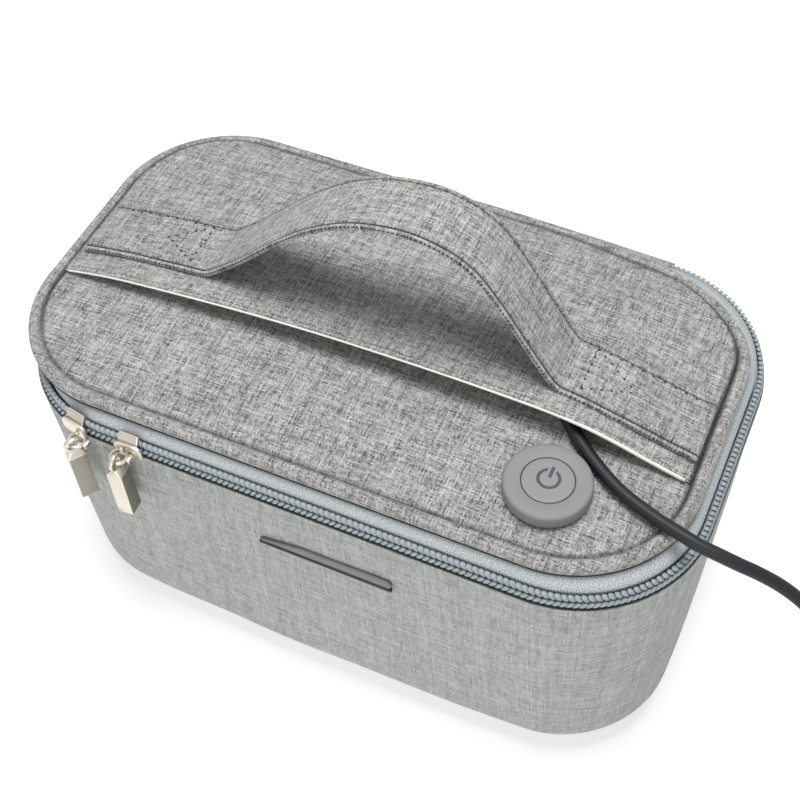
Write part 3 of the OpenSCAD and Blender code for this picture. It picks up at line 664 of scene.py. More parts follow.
half_across = [12, 11.9, 11.7, 11.45, 11.15, 10.85, 10.6, 10.4, 10.3, 10.15, 9.9, 9.6, 9.2, 8.7, 8, 6, 3]
across = [-y for y in half_across] + [0] + half_across[::-1]
strap_rows = []
for k, run in enumerate(strap_run):
    mid, up = strap_frame(k)
    end = min(1, min(run, strap_run[-1] - run) / 1.2) ** 0.5
    row = []
    for y in across:
        sag = 0.25 * noise.noise(Vector((run / 18, y / 12, 1.7)))
        h = relief(y) * max(0.15, end)
        at = mid + Vector((0, y, 0))
        row.append((at + up * (h + sag * 0.5), at - up * (h - sag * 0.5)))
    strap_rows.append(row)
strap = sheet("strap_cloth", strap_rows, lambda i, j: (strap_run[i], across[j]))


def strap_valley_shade(p):
    """Painted shade in the stitched valleys, darker in the front one."""
    aside = p.y - strap_y(p.x)
    return (1.0 if aside < 0 else 0.5) * exp(-((abs(aside) - stitch_in) / 0.42) ** 2)


mark_seams_and_shade(strap, strap_valley_shade)

# %% [markdown]
# ## Small repeated shapes
#
# Stitches and zip teeth repeat hundreds of times. Each is a small rounded
# pebble of a few dozen faces, placed by a rule. An array modifier on a curve
# would space them less evenly round the corners.

# %% Pebbles placed by a rule
def pebbles(name, places, sides=6, levels=3, square=1.0):
    """One mesh of rounded shapes; a place is its centre and three half-axes.

    The lower `square` is, the more each pebble looks like a block.
    """
    points, faces = [], []

    def squared(share):
        """The same share, nearer to a full one or none, as on a block."""
        return copysign(abs(share) ** square, share)

    for centre, a, b, c in places:
        base = len(points)
        for i in range(1, levels + 1):
            lift = pi * i / (levels + 1)
            for turn in [tau * k / sides for k in range(sides)]:
                out = squared(cos(turn)) * b + squared(sin(turn)) * c
                points.append(centre + sin(lift) ** 0.45 * out - squared(cos(lift)) * a)
        points += [centre - a, centre + a]
        low, high, top = len(points) - 2, len(points) - 1, base + (levels - 1) * sides
        for k in range(sides):
            m = (k + 1) % sides
            faces.append((base + m, base + k, low))
            for floor in range(base, top, sides):
                faces.append((floor + k, floor + m, floor + sides + m, floor + sides + k))
            faces.append((top + k, top + m, high))
    return from_points(name, points, faces)


def spaced(line, pitch, start=0.5):
    """Points at a steady pitch along a polyline, each with the direction ahead."""
    out, left = [], pitch * start
    for a, b in zip(line, line[1:]):
        step = (b - a).length
        while step > 0 and left <= step:
            out.append((a.lerp(b, left / step), (b - a) / step))
            left += pitch
        left -= step
    return out


# %% Stitches
stitch_half = 0.55
strap_stitches_and_edge_shadow = []
# The row 11.9 mm out at the front edge is dark thread as painted shadow under the piping; the other two rows
# are stitches.
for side, away, lift, gap in ((-1, stitch_in, 0.05, 1.5), (-1, 11.9, -0.1, 1.5), (1, stitch_in, 0.03, 2.4)):
    rail = []
    for k in range(2, len(strap_line) - 2):
        mid, up = strap_frame(k)
        rail.append(mid + Vector((0, side * away, 0)) + up * (relief(away) + lift))
    strap_stitches_and_edge_shadow += [(p, ahead * stitch_half, Vector((0, 0.26, 0)), ahead.cross(Vector((0, 1, 0))) * 0.24)
                       for p, ahead in spaced(rail, gap)]


def strap_point(x, y, lift=0.1):
    """A point on the strap's upper face at a foot."""
    k = min(range(len(strap_line)), key=lambda i: abs(strap_line[i].x - x))
    a, b = (strap_line[k], strap_line[k + 1]) if strap_line[k].x <= x else (strap_line[k - 1], strap_line[k])
    z = a.z + (b.z - a.z) * (x - a.x) / max(1e-6, b.x - a.x)
    return Vector((x, strap_y(x) + y, z + strap_thick / 2 + relief(y) + lift))


def sewn(a, b, pitch=3.2):
    """Stitches on the strap from one place to another."""
    a, b = Vector(a), Vector(b)
    count = max(2, round((b - a).length / 0.7))
    line = [strap_point(*a.lerp(b, i / count)) for i in range(count + 1)]
    return [(p, d * stitch_half, d.cross(Vector((0, 0, 1))).normalized() * 0.3, Vector((0, 0, 0.2)))
            for p, d in spaced(line, pitch, 0.1)]


foot_stitches = []
for root, tip, end in ((-72.5, -86, -108), (68.5, 84.5, 104)):
    foot_stitches += sewn((root, 9.2), (root, -8)) + sewn((root, 9.2), (tip, 0)) + sewn((root, -8), (tip, 0))
    foot_stitches += sewn((root, 9.2), (end, 9.2), 3.8)
strap_thread_and_edge_shadow = pebbles("strap_stitches_and_edge_shadow", strap_stitches_and_edge_shadow)
foot_seams = pebbles("foot_stitches", foot_stitches)

mouth_seam_y = mouth_y + 1.7
mouth_line = [Vector((x, mouth_seam_y, flap_over(x, mouth_seam_y) + 0.06)) for x in range(-116, 108)]
mouth_seam = pebbles("mouth_stitches", [(p, d * 0.7, Vector((0, 0.17, 0)), Vector((0, 0, 0.13)))
                                        for p, d in spaced(mouth_line, 2.6)])

# %% [markdown]
# ## The zip
#
# The zip runs round the left, front and right sides. Each half is a woven tape
# with a spiral of nylon loops at its edge. The loops of the two rows lean
# opposite ways, and that gives the herringbone look of a closed zip.

# %% Zip tapes
# The rows of teeth meet at zip_z. The upper tape starts behind its teeth and bends in towards the rim
# at bend_z. The zip runs from one end of the straight back round to the other.
zip_z, teeth_z, bend_z = 113.3, 113.95, 116.0
first, last = LONG // 2, around - LONG // 2


def outline_ring(inset, z):
    """The outline of the lid's rolled rim, set in."""
    out = rim_out - inset
    return [rounder(p) for p in plan(panel_hl + out, panel_hd + out, panel_r + out, z, 0, lid_mid)]


def ribbon(name, outside, inside):
    """A thin woven band, given by its outer rings from the teeth up and its inner rings back down."""
    width = distances([ring[first] for ring in outside])
    width += width[::-1] + [0.0]
    return skin(name, outside + inside[::-1], lambda i, j: (rim_run[j], width[i]), (first, last))


def rising(inset, under_rim, top):
    """Rings from the teeth up to the rim.

    On the left the rim hangs over the body, and there the tape rises upright and leaves room for a slider.
    """
    rings = [body_ring(inset, teeth_z), body_ring(inset, bend_z), [], [], []]
    for a, deeper, b in zip(rings[1], body_ring(inset + 1, bend_z), outline_ring(under_rim, top)):
        out = (a - deeper).normalized()
        b = b - out * max(0, (b - a).dot(out))
        for ring, t in zip(rings[2:], (0.33, 0.66, 1)):
            ring.append(a.lerp(b, t))
    return rings


upper_tape = ribbon("upper_tape_cloth", rising(3.6, 0.9, 119.05), rising(4.4, 1.8, 118.7))
lower_tape = ribbon("lower_tape_cloth", *[[body_ring(inset, z) for z in (102.95, 107, 112.5)]
                                          for inset in (2.5, 3.3)])


# %% The painted shadow under the rim
# A thin cord of dark thread paints the shadow in the crease between the rolled rim and the zip tape.
rim_shadow_line = [outline_ring(o, z) for o, z in ((0.45, 118.85), (0.2, 119.1), (0.45, 119.35), (0.9, 119.2))]
rim_shadow_cord = skin("rim_shadow_cord", rim_shadow_line, lambda i, j: (rim_run[j], i), (first - 6, last + 6))


# %% Zip teeth
def tooth_row(name, inset, low, high, lean):
    """A row of nylon loops, 2 mm apart; lean tips each one along the zip."""
    places = []
    for p, ahead in spaced(body_ring(inset, (low + high) / 2)[first : last + 1], 2.0):
        out = Vector((ahead.y, -ahead.x, 0))
        axis = (Vector((0, 0, 1)) + ahead * lean).normalized()
        places.append((p, axis * (high - low) / 2, out * 0.9, ahead * 0.87))
    return pebbles(name, places, 8, 4, 0.55)


lower_row = tooth_row("lower_teeth_row", 1.4, 110.8, zip_z, 0.7)
upper_row = tooth_row("upper_teeth_row", 2.1, zip_z, 115.75, -0.7)

# %% [markdown]
# ## Linings and the hinge
#
# Inside, a foil lining covers the box. At the back the lid hangs on a band of
# cloth, sewn to both halves, and the band is one piece that bends when the lid
# opens. The two ends of the zip go under it.

# %% Foil lining
def foil_face(inset):
    """Rings of one face of the lining, from its top edge down to the floor."""
    walls = [wall_ring(inset, z) for z in (102, 90, 70, 50, 30)]
    return [body_ring(inset, 110.2)] + walls + [foot_ring(inset, a) for a in foot_turns]


foil_out, foil_in = foil_face(3.6), foil_face(4.8)
lining_rings = flat_rings(foil_out[-1], (0.5,)) + foil_out[::-1] + foil_in
lining_rings += flat_rings(foil_in[-1], (0.8, 0.5, 0.2))
lining_down = distances([ring[0] for ring in lining_rings])
body_lining = skin("body_lining_foil", lining_rings, lambda i, j: (rim_run[j], lining_down[i]))

# %% Hinge band
section = [(74.1, 99.4), (74.1, 103), (74.1, 107), (74.1, 110.5), (74.1, 112.3), (74.1, 113.2), (74.1, 114.1),
           (74.05, 115.3), (72.6, 116.5), (70.6, 117.5), (68.9, 118.4), (67.3, 119.25)]
section_run = distances([Vector(p) for p in section])
band_rows = []
for x in range(-76, 77, 2):
    row = []
    for y, z in section:
        ripple = 0.18 * noise.noise(Vector((x / 14, z / 9, 5.5)))
        on_lid = clamp((z - 113.5) / 5)
        row.append((rounder(Vector((x, y + ripple * 0.5 - 0.05, z)), on_lid),
                    rounder(Vector((x, y - 0.78, z - (0.35 if z > 115 else 0))), on_lid)))
    band_rows.append(row)
hinge_band = sheet("hinge_band_cloth", band_rows, lambda i, j: (band_rows[i][j][0].x, section_run[j]))
mark_seams_and_shade(hinge_band, lambda p: exp(-((p.z - 101.2) / 0.35) ** 2) * 0.7)

# %% [markdown]
# ## Hard pieces by hand
#
# The button, the zip sliders, their pulls, the badge and the plug are hard
# pieces. Each starts from a primitive and is cut, inset, bevelled and bridged,
# as one would at the mouse. The CAD solids could be shown as they are, but they
# have sharp edges, and small rounded edges are what catches the light.

# %% Modelling tools
def alone(*pieces):
    """Select these pieces and nothing else, the first one active."""
    bpy.ops.object.select_all(action="DESELECT")
    for piece in pieces:
        piece.select_set(True)
    bpy.context.view_layer.objects.active = pieces[0]


def begin(kind, size=(1, 1, 1), at=(0, 0, 0), **settings):
    """A primitive of a given size in millimetres, alone and selected."""
    bpy.ops.object.select_all(action="DESELECT")
    getattr(bpy.ops.mesh, "primitive_" + kind + "_add")(**settings)
    made = bpy.context.object
    made.data.transform(Matrix.Translation(Vector(at)) @ Matrix.Diagonal((*size, 1)))
    return made


def pick(piece, kind, rule):
    """Select faces or edges of a mesh by their place, and stay in edit mode."""
    bpy.ops.object.mode_set(mode="EDIT")
    bpy.ops.mesh.select_mode(type=kind)
    bpy.ops.mesh.select_all(action="DESELECT")
    bpy.ops.object.mode_set(mode="OBJECT")
    mesh = piece.data
    at = [v.co for v in mesh.vertices]
    if kind == "FACE":
        for face in mesh.polygons:
            face.select = rule(face.center, face.normal)
    else:
        for line in mesh.edges:
            line.select = rule(at[line.vertices[0]], at[line.vertices[1]])
    bpy.ops.object.mode_set(mode="EDIT")


def draw(move):
    """Extrude the picked faces by a move in millimetres."""
    bpy.ops.mesh.extrude_region_move(TRANSFORM_OT_translate={"value": move})


def resize(value, centre=(0, 0, 0)):
    """Scale the picked faces about a point."""
    bpy.ops.transform.resize(value=value, center_override=centre)


def close_edit():
    """Leave edit mode, which writes the edited mesh back to its object."""
    bpy.ops.object.mode_set(mode="OBJECT")


def bevel(piece, width, segments, rule):
    """Round the edges that a rule picks."""
    pick(piece, "EDGE", rule)
    bpy.ops.mesh.bevel(offset=width, segments=segments, affect="EDGES")
    close_edit()


def inset(piece, thickness, rule, move=None):
    """Inset the faces that a rule picks, and draw them out or in by a move."""
    pick(piece, "FACE", rule)
    bpy.ops.mesh.inset(thickness=thickness)
    if move:
        draw(move)
    close_edit()


def ease(piece, width, segments=2, angle=40):
    """A bevel modifier on every sharp edge, applied."""
    made = piece.modifiers.new("edges", "BEVEL")
    made.width, made.segments, made.limit_method, made.angle_limit = width, segments, "ANGLE", radians(angle)
    made.use_clamp_overlap = True
    bpy.context.view_layer.objects.active = piece
    bpy.ops.object.modifier_apply(modifier=made.name)


def join(name, pieces):
    """One named piece of several, smooth but for its sharp edges."""
    alone(*pieces)
    if len(pieces) > 1:
        bpy.ops.object.join()
    pieces[0].name = pieces[0].data.name = name
    bpy.ops.object.shade_smooth_by_angle(angle=radians(40))
    return pieces[0]


def settle(piece, place):
    """From millimetres in its own frame to metres in the shared one."""
    piece.data.transform(Matrix.Scale(MM, 4) @ place)
    piece.data.update()
    print(piece.name, len(piece.data.polygons), "faces")
    return piece


def turned(angle, axis):
    """A turn by some degrees about an axis."""
    return Matrix.Rotation(radians(angle), 4, axis)


# %% [markdown]
# ### The button
#
# A round housing with a wide bore holds the cap, which sinks a little when it
# is pressed. A lathe profile would do, but a cylinder whose top is inset and
# pushed in shows the same steps, and it stays easy to change.

# %% Button
housing_r, housing_h, cap_r = 14, 5, 8.2
housing_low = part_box("button_housing")[0].z / MM
button_place = Matrix.Translation((button.x, button.y, housing_low))
housing = begin("cylinder", at=(0, 0, housing_h / 2), radius=housing_r, depth=housing_h, vertices=96)
pick(housing, "FACE", lambda c, n: n.z > 0.9)
bpy.ops.mesh.inset(thickness=5.55)
draw((0, 0, -2.3))
bpy.ops.mesh.inset(thickness=3.65)
close_edit()
inset(housing, 9.2, lambda c, n: n.z < -0.9)
pick(housing, "FACE", lambda c, n: abs(n.z) > 0.9 and c.xy.length < 0.5)
bpy.ops.mesh.bridge_edge_loops()
close_edit()


def housing_edges(from_r, to_r, low, high):
    """A rule that picks edges of the housing between two radii and two heights."""
    return lambda a, b: all(from_r < p.xy.length < to_r and low < p.z < high for p in (a, b))


bevel(housing, 1.25, 6, housing_edges(housing_r - 0.1, 20, 4.9, 6))
bevel(housing, 0.3, 2, housing_edges(8.3, 8.6, 4.9, 6))
bevel(housing, 0.4, 2, housing_edges(housing_r - 0.1, 20, -1, 0.1))
housing = settle(join("button_housing_moulded", [housing]), button_place)

cap = begin("cylinder", at=(0, 0, 4.2), radius=cap_r, depth=1.6, vertices=96)
bevel(cap, 0.35, 3, lambda a, b: min(a.z, b.z) > 4.9)
inset(cap, 1.2, lambda c, n: n.z > 0.9 and c.xy.length < 1, (0, 0, -0.04))
stem_low, stem_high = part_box("button_cap")[0].z / MM - housing_low, 3.6
stem_long = stem_high - stem_low
stem = begin("cylinder", at=(0, 0, (stem_low + stem_high) / 2), radius=2.3, depth=stem_long, vertices=32)
cap = settle(join("button_cap_moulded", [cap, stem]), button_place)

# %% [markdown]
# ### Sliders and pulls
#
# Each slider is stamped sheet metal: two plates, a post between them, a bent
# cover and a bar for the pull. The pulls are tabs folded from one strip, so
# they are hollow, and their far end is open. Both sliders come from one
# function, and the two pulls differ only in how far they are folded.

# %% Zip sliders and their pulls
# The bar that carries a pull stands out from the zip, a little below the zip's middle.
bar_out, bar_down = 3.5, -1.4


def slider_piece(name, place, bar_x):
    """A zip slider; its bar and the lug beside it stand `bar_x` mm from the middle of its plate."""
    plate = begin("cube", (5.2, 0.55, 3.1), (0, 0.9, 0))
    bevel(plate, 1.8, 5, lambda a, b: abs(a.y - b.y) > 1)
    ease(plate, 0.25)
    inner = begin("cube", (5, 0.5, 2.5), (0, -5.5, 0))
    bevel(inner, 1.5, 4, lambda a, b: abs(a.y - b.y) > 0.9)
    post = begin("cube", (2, 3, 0.28), (0, -2.4, 0))
    cover = begin("cube", (3.7, 0.5, 2.5))
    bevel(cover, 1.1, 5, lambda a, b: abs(a.y - b.y) > 0.9)
    ease(cover, 0.22)
    inset(cover, 0.5, lambda c, n: n.y > 0.95, (0, 0.12, 0))
    cover.data.transform(Matrix.Translation((0.6, -1.0, 3.2)) @ turned(33, "X"))
    bridge = begin("torus", (1, 1, 1.35), (bar_x, bar_out, bar_down), major_radius=2.75, minor_radius=0.62,
                   major_segments=32, minor_segments=10)
    lug = begin("cube", (0.8, 1.5, 1.1), (bar_x - 3.7, 3.1, bar_down))
    ease(lug, 0.25)
    inset(lug, 0.3, lambda c, n: n.y > 0.9, (0, -0.5, 0))
    return settle(join(name, [plate, inner, post, cover, bridge, lug]), place)


def pull_piece(name, place, deep, wide):
    """A pull: a ring, and a folded tab that narrows towards it and is open at its far end."""
    ring = begin("cylinder", radius=3.2, depth=1.3, vertices=40)
    pick(ring, "FACE", lambda c, n: abs(n.z) > 0.9)
    bpy.ops.mesh.inset(thickness=1.25)
    bpy.ops.mesh.bridge_edge_loops()
    close_edit()
    ease(ring, 0.25)
    tab = begin("cube", (deep, 10.9, wide), (0, -15.5, 0))
    pick(tab, "FACE", lambda c, n: n.y > 0.9)
    draw((0, 2.2, 0))
    resize((1.9 / deep, 1, 0.65 / wide), (0, -2.4, 0))
    close_edit()
    inset(tab, 0.55, lambda c, n: n.y < -0.9, (0, 20, 0))
    ease(tab, 0.22)
    return settle(join(name, [ring, tab]), place)


def slider_place(centre, heading):
    """Where a slider sits on the zip, from the middle of its corner and its heading round it."""
    return (Matrix.Translation((*centre, zip_z)) @ turned(heading - 90, "Z")
            @ Matrix.Translation((0, zip_r, 0)))


def pull_place(yaw, bar_x):
    """Where a pull hangs in its slider's frame, turned about the upright."""
    return (Matrix.Translation((bar_x, 5.8, bar_down)) @ turned(yaw, "Z") @ turned(90, "Z") @ turned(90, "X"))


right_at, left_at = slider_place((-62, -27), 270), slider_place((-74.2, -27), 259)
right_bar, left_bar = 2.4, -3.2
right_slider = slider_piece("right_slider_metal", right_at, right_bar)
left_slider = slider_piece("left_slider_metal", left_at, left_bar)
right_hung, left_hung = right_at @ pull_place(4, right_bar), left_at @ pull_place(-25, left_bar)
right_pull = pull_piece("right_pull_metal", right_hung, 3.0, 2.8)
left_pull = pull_piece("left_pull_metal", left_hung, 3.3, 2.3)

# %% [markdown]
# ### Badge and plug
#
# The badge is a bare metal strip with a black strip under it as painted shadow. It
# is bevelled first and then narrowed towards one end by moving its points,
# because a scale would also squash its corners. The plug is a moulded grip with a
# ribbed boot.

# %% Badge
badge_place = Matrix.Translation((7, -72.81, 88.4)) @ turned(90.9, "X")
badge_low, taper_from, taper_long = -1.6, -8, 16
badge = begin("cube", (24, 2, 0.5), (0, 0.4, 0.5))
bevel(badge, 1.9, 8, lambda a, b: abs(a.z - b.z) > 0.9)
bevel(badge, 0.4, 4, lambda a, b: min(a.z, b.z) > 0.95)
pick(badge, "FACE", lambda c, n: True)
bpy.ops.mesh.bisect(plane_co=(taper_from, 0, 0), plane_no=(1, 0, 0))
close_edit()
# The badge narrows towards its left end, as far as its straight lower edge allows.
for v in badge.data.vertices:
    narrow = 0.75 * max(0, (taper_from - v.co.x) / taper_long) ** 1.2
    v.co.y = badge_low + (v.co.y - badge_low) * (1 - narrow)
# A black strip under the badge paints its shadow.
badge_shadow_strip = begin("cube", (24.2, 0.7, 0.65), (0, -2.0, 0.65))
bevel(badge_shadow_strip, 0.65, 5, lambda a, b: abs(a.z - b.z) > 1)
ease(badge_shadow_strip, 0.2)
badge = settle(join("badge_metal", [badge]), badge_place)
badge_shadow_strip = settle(join("badge_painted_shadow", [badge_shadow_strip]), badge_place)

# %% Plug
boot = begin("cylinder", at=(0, 0, 4.6), radius=3, depth=9.4, vertices=40)
pick(boot, "FACE", lambda c, n: n.z < -0.9)
resize((0.93, 0.93, 1))
close_edit()
boot.data.transform(turned(90, "Y"))
ribs = []
for k in range(3):
    rib = begin("cylinder", at=(0, 0, 2.2 + 2.3 * k), radius=3.4 + 0.1 * k, depth=1.1, vertices=40)
    rib.data.transform(turned(90, "Y"))
    ease(rib, 0.25)
    ribs.append(rib)
grip = begin("cube", (10, 7.8, 4), (19, 0, 0))
bevel(grip, 2.4, 5, lambda a, b: abs(a.x - b.x) > 10)
ease(grip, 0.5, 3)
pick(grip, "FACE", lambda c, n: abs(n.z) > 0.95)
bpy.ops.mesh.inset(thickness=1.6)
resize((1, 1, 0.93))
close_edit()
plug = settle(join("plug_moulding", [grip, boot, *ribs]), Matrix.Translation(plug_start) @ turned(180, "Z"))

# %% [markdown]
# ## Cloth
#
# The cloth is a plain weave of mottled yarns. A picture of cloth would be
# quicker, but a woven rule scales with the real piece. Every yarn has its own
# tone, and thick and thin places run along it, both ways across the weave.

# %% Woven cloth
def woven(name, pale, deep, shade, contrast, pitch=0.55, fleck=0.16):
    """Cloth of yarns `pitch` mm apart, between two tones; shade is the colour of the painted shade in its
    seams and gaps.
    """
    cloth = finish(name, Roughness=0.92, Sheen_Weight=0.15, Sheen_Roughness=0.5)
    place = add(cloth, "SeparateXYZ", i0=add(cloth, "UVMap", {"uv_map": "cloth"}))
    u, v = [add(cloth, "Math", "MULTIPLY", i0=place.outputs[k], i1=1 / (pitch * MM)) for k in (0, 1)]
    yarn_u, yarn_v = [add(cloth, "Math", "FLOOR", i0=way) for way in (u, v)]
    tones, humps = [], []
    for along, way, number, offset in ((v, u, yarn_u, 0.0), (u, v, yarn_v, 40.0)):
        row = add(cloth, "Math", "MULTIPLY", i0=number, i1=3.71)
        run = add(cloth, "Math", "MULTIPLY", i0=along, i1=0.07)
        spot = add(cloth, "CombineXYZ", i0=row, i1=run, i2=offset)
        slub = add(cloth, "TexNoise", Vector=spot, Scale=1.0, Detail=2.0, Roughness=0.7)
        seed = add(cloth, "Math", "ADD", i0=number, i1=offset)
        own = add(cloth, "TexWhiteNoise", {"noise_dimensions": "1D"}, W=seed)
        tones.append(add(cloth, "Math", "MULTIPLY_ADD", i0=own, i1=0.14, i2=slub))
        part = add(cloth, "Math", "FRACT", i0=way)
        humps.append(add(cloth, "Math", "SINE", i0=add(cloth, "Math", "MULTIPLY", i0=part, i1=pi)))
    # At each crossing one yarn lies on top, in turn.
    crossing = add(cloth, "Math", "ADD", i0=yarn_u, i1=yarn_v)
    on_top = add(cloth, "Math", "PINGPONG", i0=crossing, i1=1.0)
    shared = add(cloth, "MapRange", i0=on_top, i1=0.0, i2=1.0, i3=0.22, i4=0.78)
    tone = add(cloth, "Mix", i0=shared, i2=tones[0], i3=tones[1])
    cell = add(cloth, "CombineXYZ", i0=yarn_u, i1=yarn_v)
    speck = add(cloth, "TexWhiteNoise", {"noise_dimensions": "2D"}, Vector=cell)
    tone = add(cloth, "Math", "MULTIPLY_ADD", i0=speck, i1=fleck, i2=tone)
    middle, half = 0.57 + fleck / 2, 0.2 / contrast
    spread = add(cloth, "MapRange", i0=tone, i1=middle - half, i2=middle + half, i3=0.0, i4=1.0)
    base = add(cloth, "Mix", COLOUR, i0=spread, i6=deep, i7=pale)
    # The seam attribute turns the colour towards the shade colour: painted shade in grooves, gaps and
    # valleys, and the dark line of seams.
    seam = add(cloth, "Attribute", {"attribute_name": "seam"})
    seam = add(cloth, "Math", {"operation": "MULTIPLY", "use_clamp": True}, i0=seam.outputs[2], i1=0.9)
    add(cloth, "Mix", COLOUR, "Base Color", i0=seam, i6=base, i7=shade)
    hump = add(cloth, "Mix", i0=on_top, i2=humps[0], i3=humps[1])
    height = add(cloth, "Math", "MULTIPLY_ADD", i0=tone, i1=0.8, i2=hump)
    add(cloth, "Bump", into="Normal", Height=height, Strength=0.55, Distance=0.16 * MM)
    return cloth


# Warm grey cloth of the lid: matt, so that only the slubs and the painted shade at its seams give it depth.
lid_fabric = woven("grey lid cloth", "#c8c7c4", "#525150", "#100f10", 1.05)
# The body's cloth is softer: its yarns differ less, and it takes a cooler, greener light from below.
# Its near-black shade colour is the painted shade under the zip's teeth.
body_fabric = woven("grey body cloth", "#bec1bd", "#777a77", "#060708", 0.9, 0.7, 0.1)
print("two cloths")

# %% [markdown]
# ## Tape, loops and thread
#
# The zip's tape is woven so finely that it reads as plain, and only its ribs
# show. The loops, threads and binding are small, so one plain finish each is
# enough: a pattern on them would be lost in the picture.

# %% Tape, teeth and threads
# The tape is a fine twill, a little bluer and smoother than the cloth. Its threads are 0.3 mm,
# too fine to show, so they are drawn 0.5 mm apart.
tape_fabric = finish("blue-grey zip tape", Roughness=0.75, Sheen_Weight=0.1)
thread_pitch = 0.5 * MM
place = add(tape_fabric, "UVMap", {"uv_map": "cloth"})
grain = add(tape_fabric, "TexNoise", Vector=place, Scale=1 / thread_pitch, Detail=1.0)
along = add(tape_fabric, "SeparateXYZ", i0=place)
phase = add(tape_fabric, "Math", "MULTIPLY", i0=along.outputs[0], i1=tau / (2 * thread_pitch))
ribs = add(tape_fabric, "Math", "SINE", i0=phase)
twill = add(tape_fabric, "Math", "MULTIPLY_ADD", i0=ribs, i1=0.05, i2=grain)
shade = add(tape_fabric, "MapRange", i0=twill, i1=0.37, i2=0.63, i3=0.0, i4=1.0)
add(tape_fabric, "Mix", COLOUR, "Base Color", i0=shade, i6="#8f9699", i7="#cdd1d3")
add(tape_fabric, "Bump", into="Normal", Height=twill, Strength=0.4, Distance=0.1 * MM)

# Nylon loops: smooth blue-grey plastic whose soft shine separates one loop from the next.
nylon = finish("blue-grey nylon", Roughness=0.5, Base_Color="#98a2a6")
# Sewing thread in dark grey, matt, which reads as fine dark dashes; the same thread makes the painted shadow
# lines under the rim and at the strap's front edge.
thread = finish("dark thread", Roughness=0.85, Base_Color="#242321")
# The mouth's seam uses a thread close to the cloth's own grey.
pale_thread = finish("grey thread", Roughness=0.85, Base_Color="#6c6a67")
# White binding with a faint cross weave; it is the one pale line across the lid.
# From here on, a scale of n / MM puts n spots of a pattern side by side in a millimetre.
binding = finish("white binding", Roughness=0.8, Base_Color="#e9e8e2")
here = add(binding, "TexCoord").outputs["Object"]
weave = add(binding, "TexWave", {"bands_direction": "X"}, Vector=here, Scale=0.32 / MM)
add(binding, "Bump", into="Normal", Height=weave.outputs[1], Strength=0.3, Distance=0.1 * MM)

# %% [markdown]
# ## Metal and foil
#
# Metal shows its surroundings, so its roughness matters more than its colour.
# A perfectly even polish looks like a drawing, and a little noise in the
# roughness gives it life. Foil is creased instead, by bumps of two sizes.

# %% Metal
# Bright plated zip metal, slightly warm; fine uneven polish softens what it mirrors.
plated = finish("bright plated metal", Metallic=1.0, Base_Color="#cdc6ba")
# The pulls' faces turned from the light get a darker, duller copy of the plating as painted shade, so each
# pull shows a light and a dark side.
painted_shade_metal = finish("plated metal with painted shade", Metallic=1.0, Base_Color="#8d8a80")
for metal, scale, glossy, dull in ((plated, 0.3, 0.2, 0.34), (painted_shade_metal, 0.7, 0.35, 0.55)):
    here = add(metal, "TexCoord").outputs["Object"]
    polish = add(metal, "TexNoise", Vector=here, Scale=scale / MM, Detail=3.0)
    add(metal, "MapRange", into="Roughness", i0=polish, i1=0.3, i2=0.7, i3=glossy, i4=dull)
# Darker satin metal of the bare badge, brushed along its length.
satin = finish("satin badge metal", Metallic=0.55, Base_Color="#757376")
here = add(satin, "TexCoord").outputs["Object"]
stretch = add(satin, "Mapping", i0=here, Scale=(0.06 / MM, 2.5 / MM, 2.5 / MM))
brush = add(satin, "TexNoise", Vector=stretch, Scale=1.0, Detail=3.0)
add(satin, "MapRange", into="Roughness", i0=brush, i1=0.2, i2=0.8, i3=0.4, i4=0.6)
# Aluminium foil lining: bright, creased, so the inside glitters when the case opens.
foil = finish("creased foil", Metallic=1.0, Base_Color="#b4b7ba", Roughness=0.38)
here = add(foil, "TexCoord").outputs["Object"]
cells = add(foil, "TexVoronoi", Vector=here, Scale=0.16 / MM)
folds = add(foil, "TexNoise", Vector=here, Scale=0.06 / MM, Detail=5.0)
creases = add(foil, "Math", "ADD", i0=cells, i1=folds)
add(foil, "Bump", into="Normal", Height=creases, Strength=0.5, Distance=0.6 * MM)

# %% [markdown]
# ## Plastic and rubber
#
# The button is soft to the touch, and the cable's jacket is a duller plastic.
# Both get a fine grain as a bump, which breaks up their shine. The power sign
# is flat print, so a rule on the distance from its middle darkens the cap's
# colour there, and it needs no mesh.

# %% Plastic and rubber
# Soft-touch grey plastic of the button: a fine grain and a broad dull shine.
soft_touch = finish("soft-touch grey plastic", Roughness=0.6, Base_Color="#868485")
# Black cable jacket: a soft plastic with a long dull highlight and a faint grain.
jacket = finish("black cable jacket", Roughness=0.5, Base_Color="#141319", Specular_IOR_Level=0.35)
for plastic, scale, strength in ((soft_touch, 2.6, 0.12), (jacket, 1.5, 0.1)):
    here = add(plastic, "TexCoord").outputs["Object"]
    grain = add(plastic, "TexNoise", Vector=here, Scale=scale / MM, Detail=2.0)
    add(plastic, "Bump", into="Normal", Height=grain, Strength=strength, Distance=0.1 * MM)
# The same rubber, duller, for the plug's moulding and the gland.
rubber = finish("dull black rubber", Roughness=0.6, Base_Color="#232226")

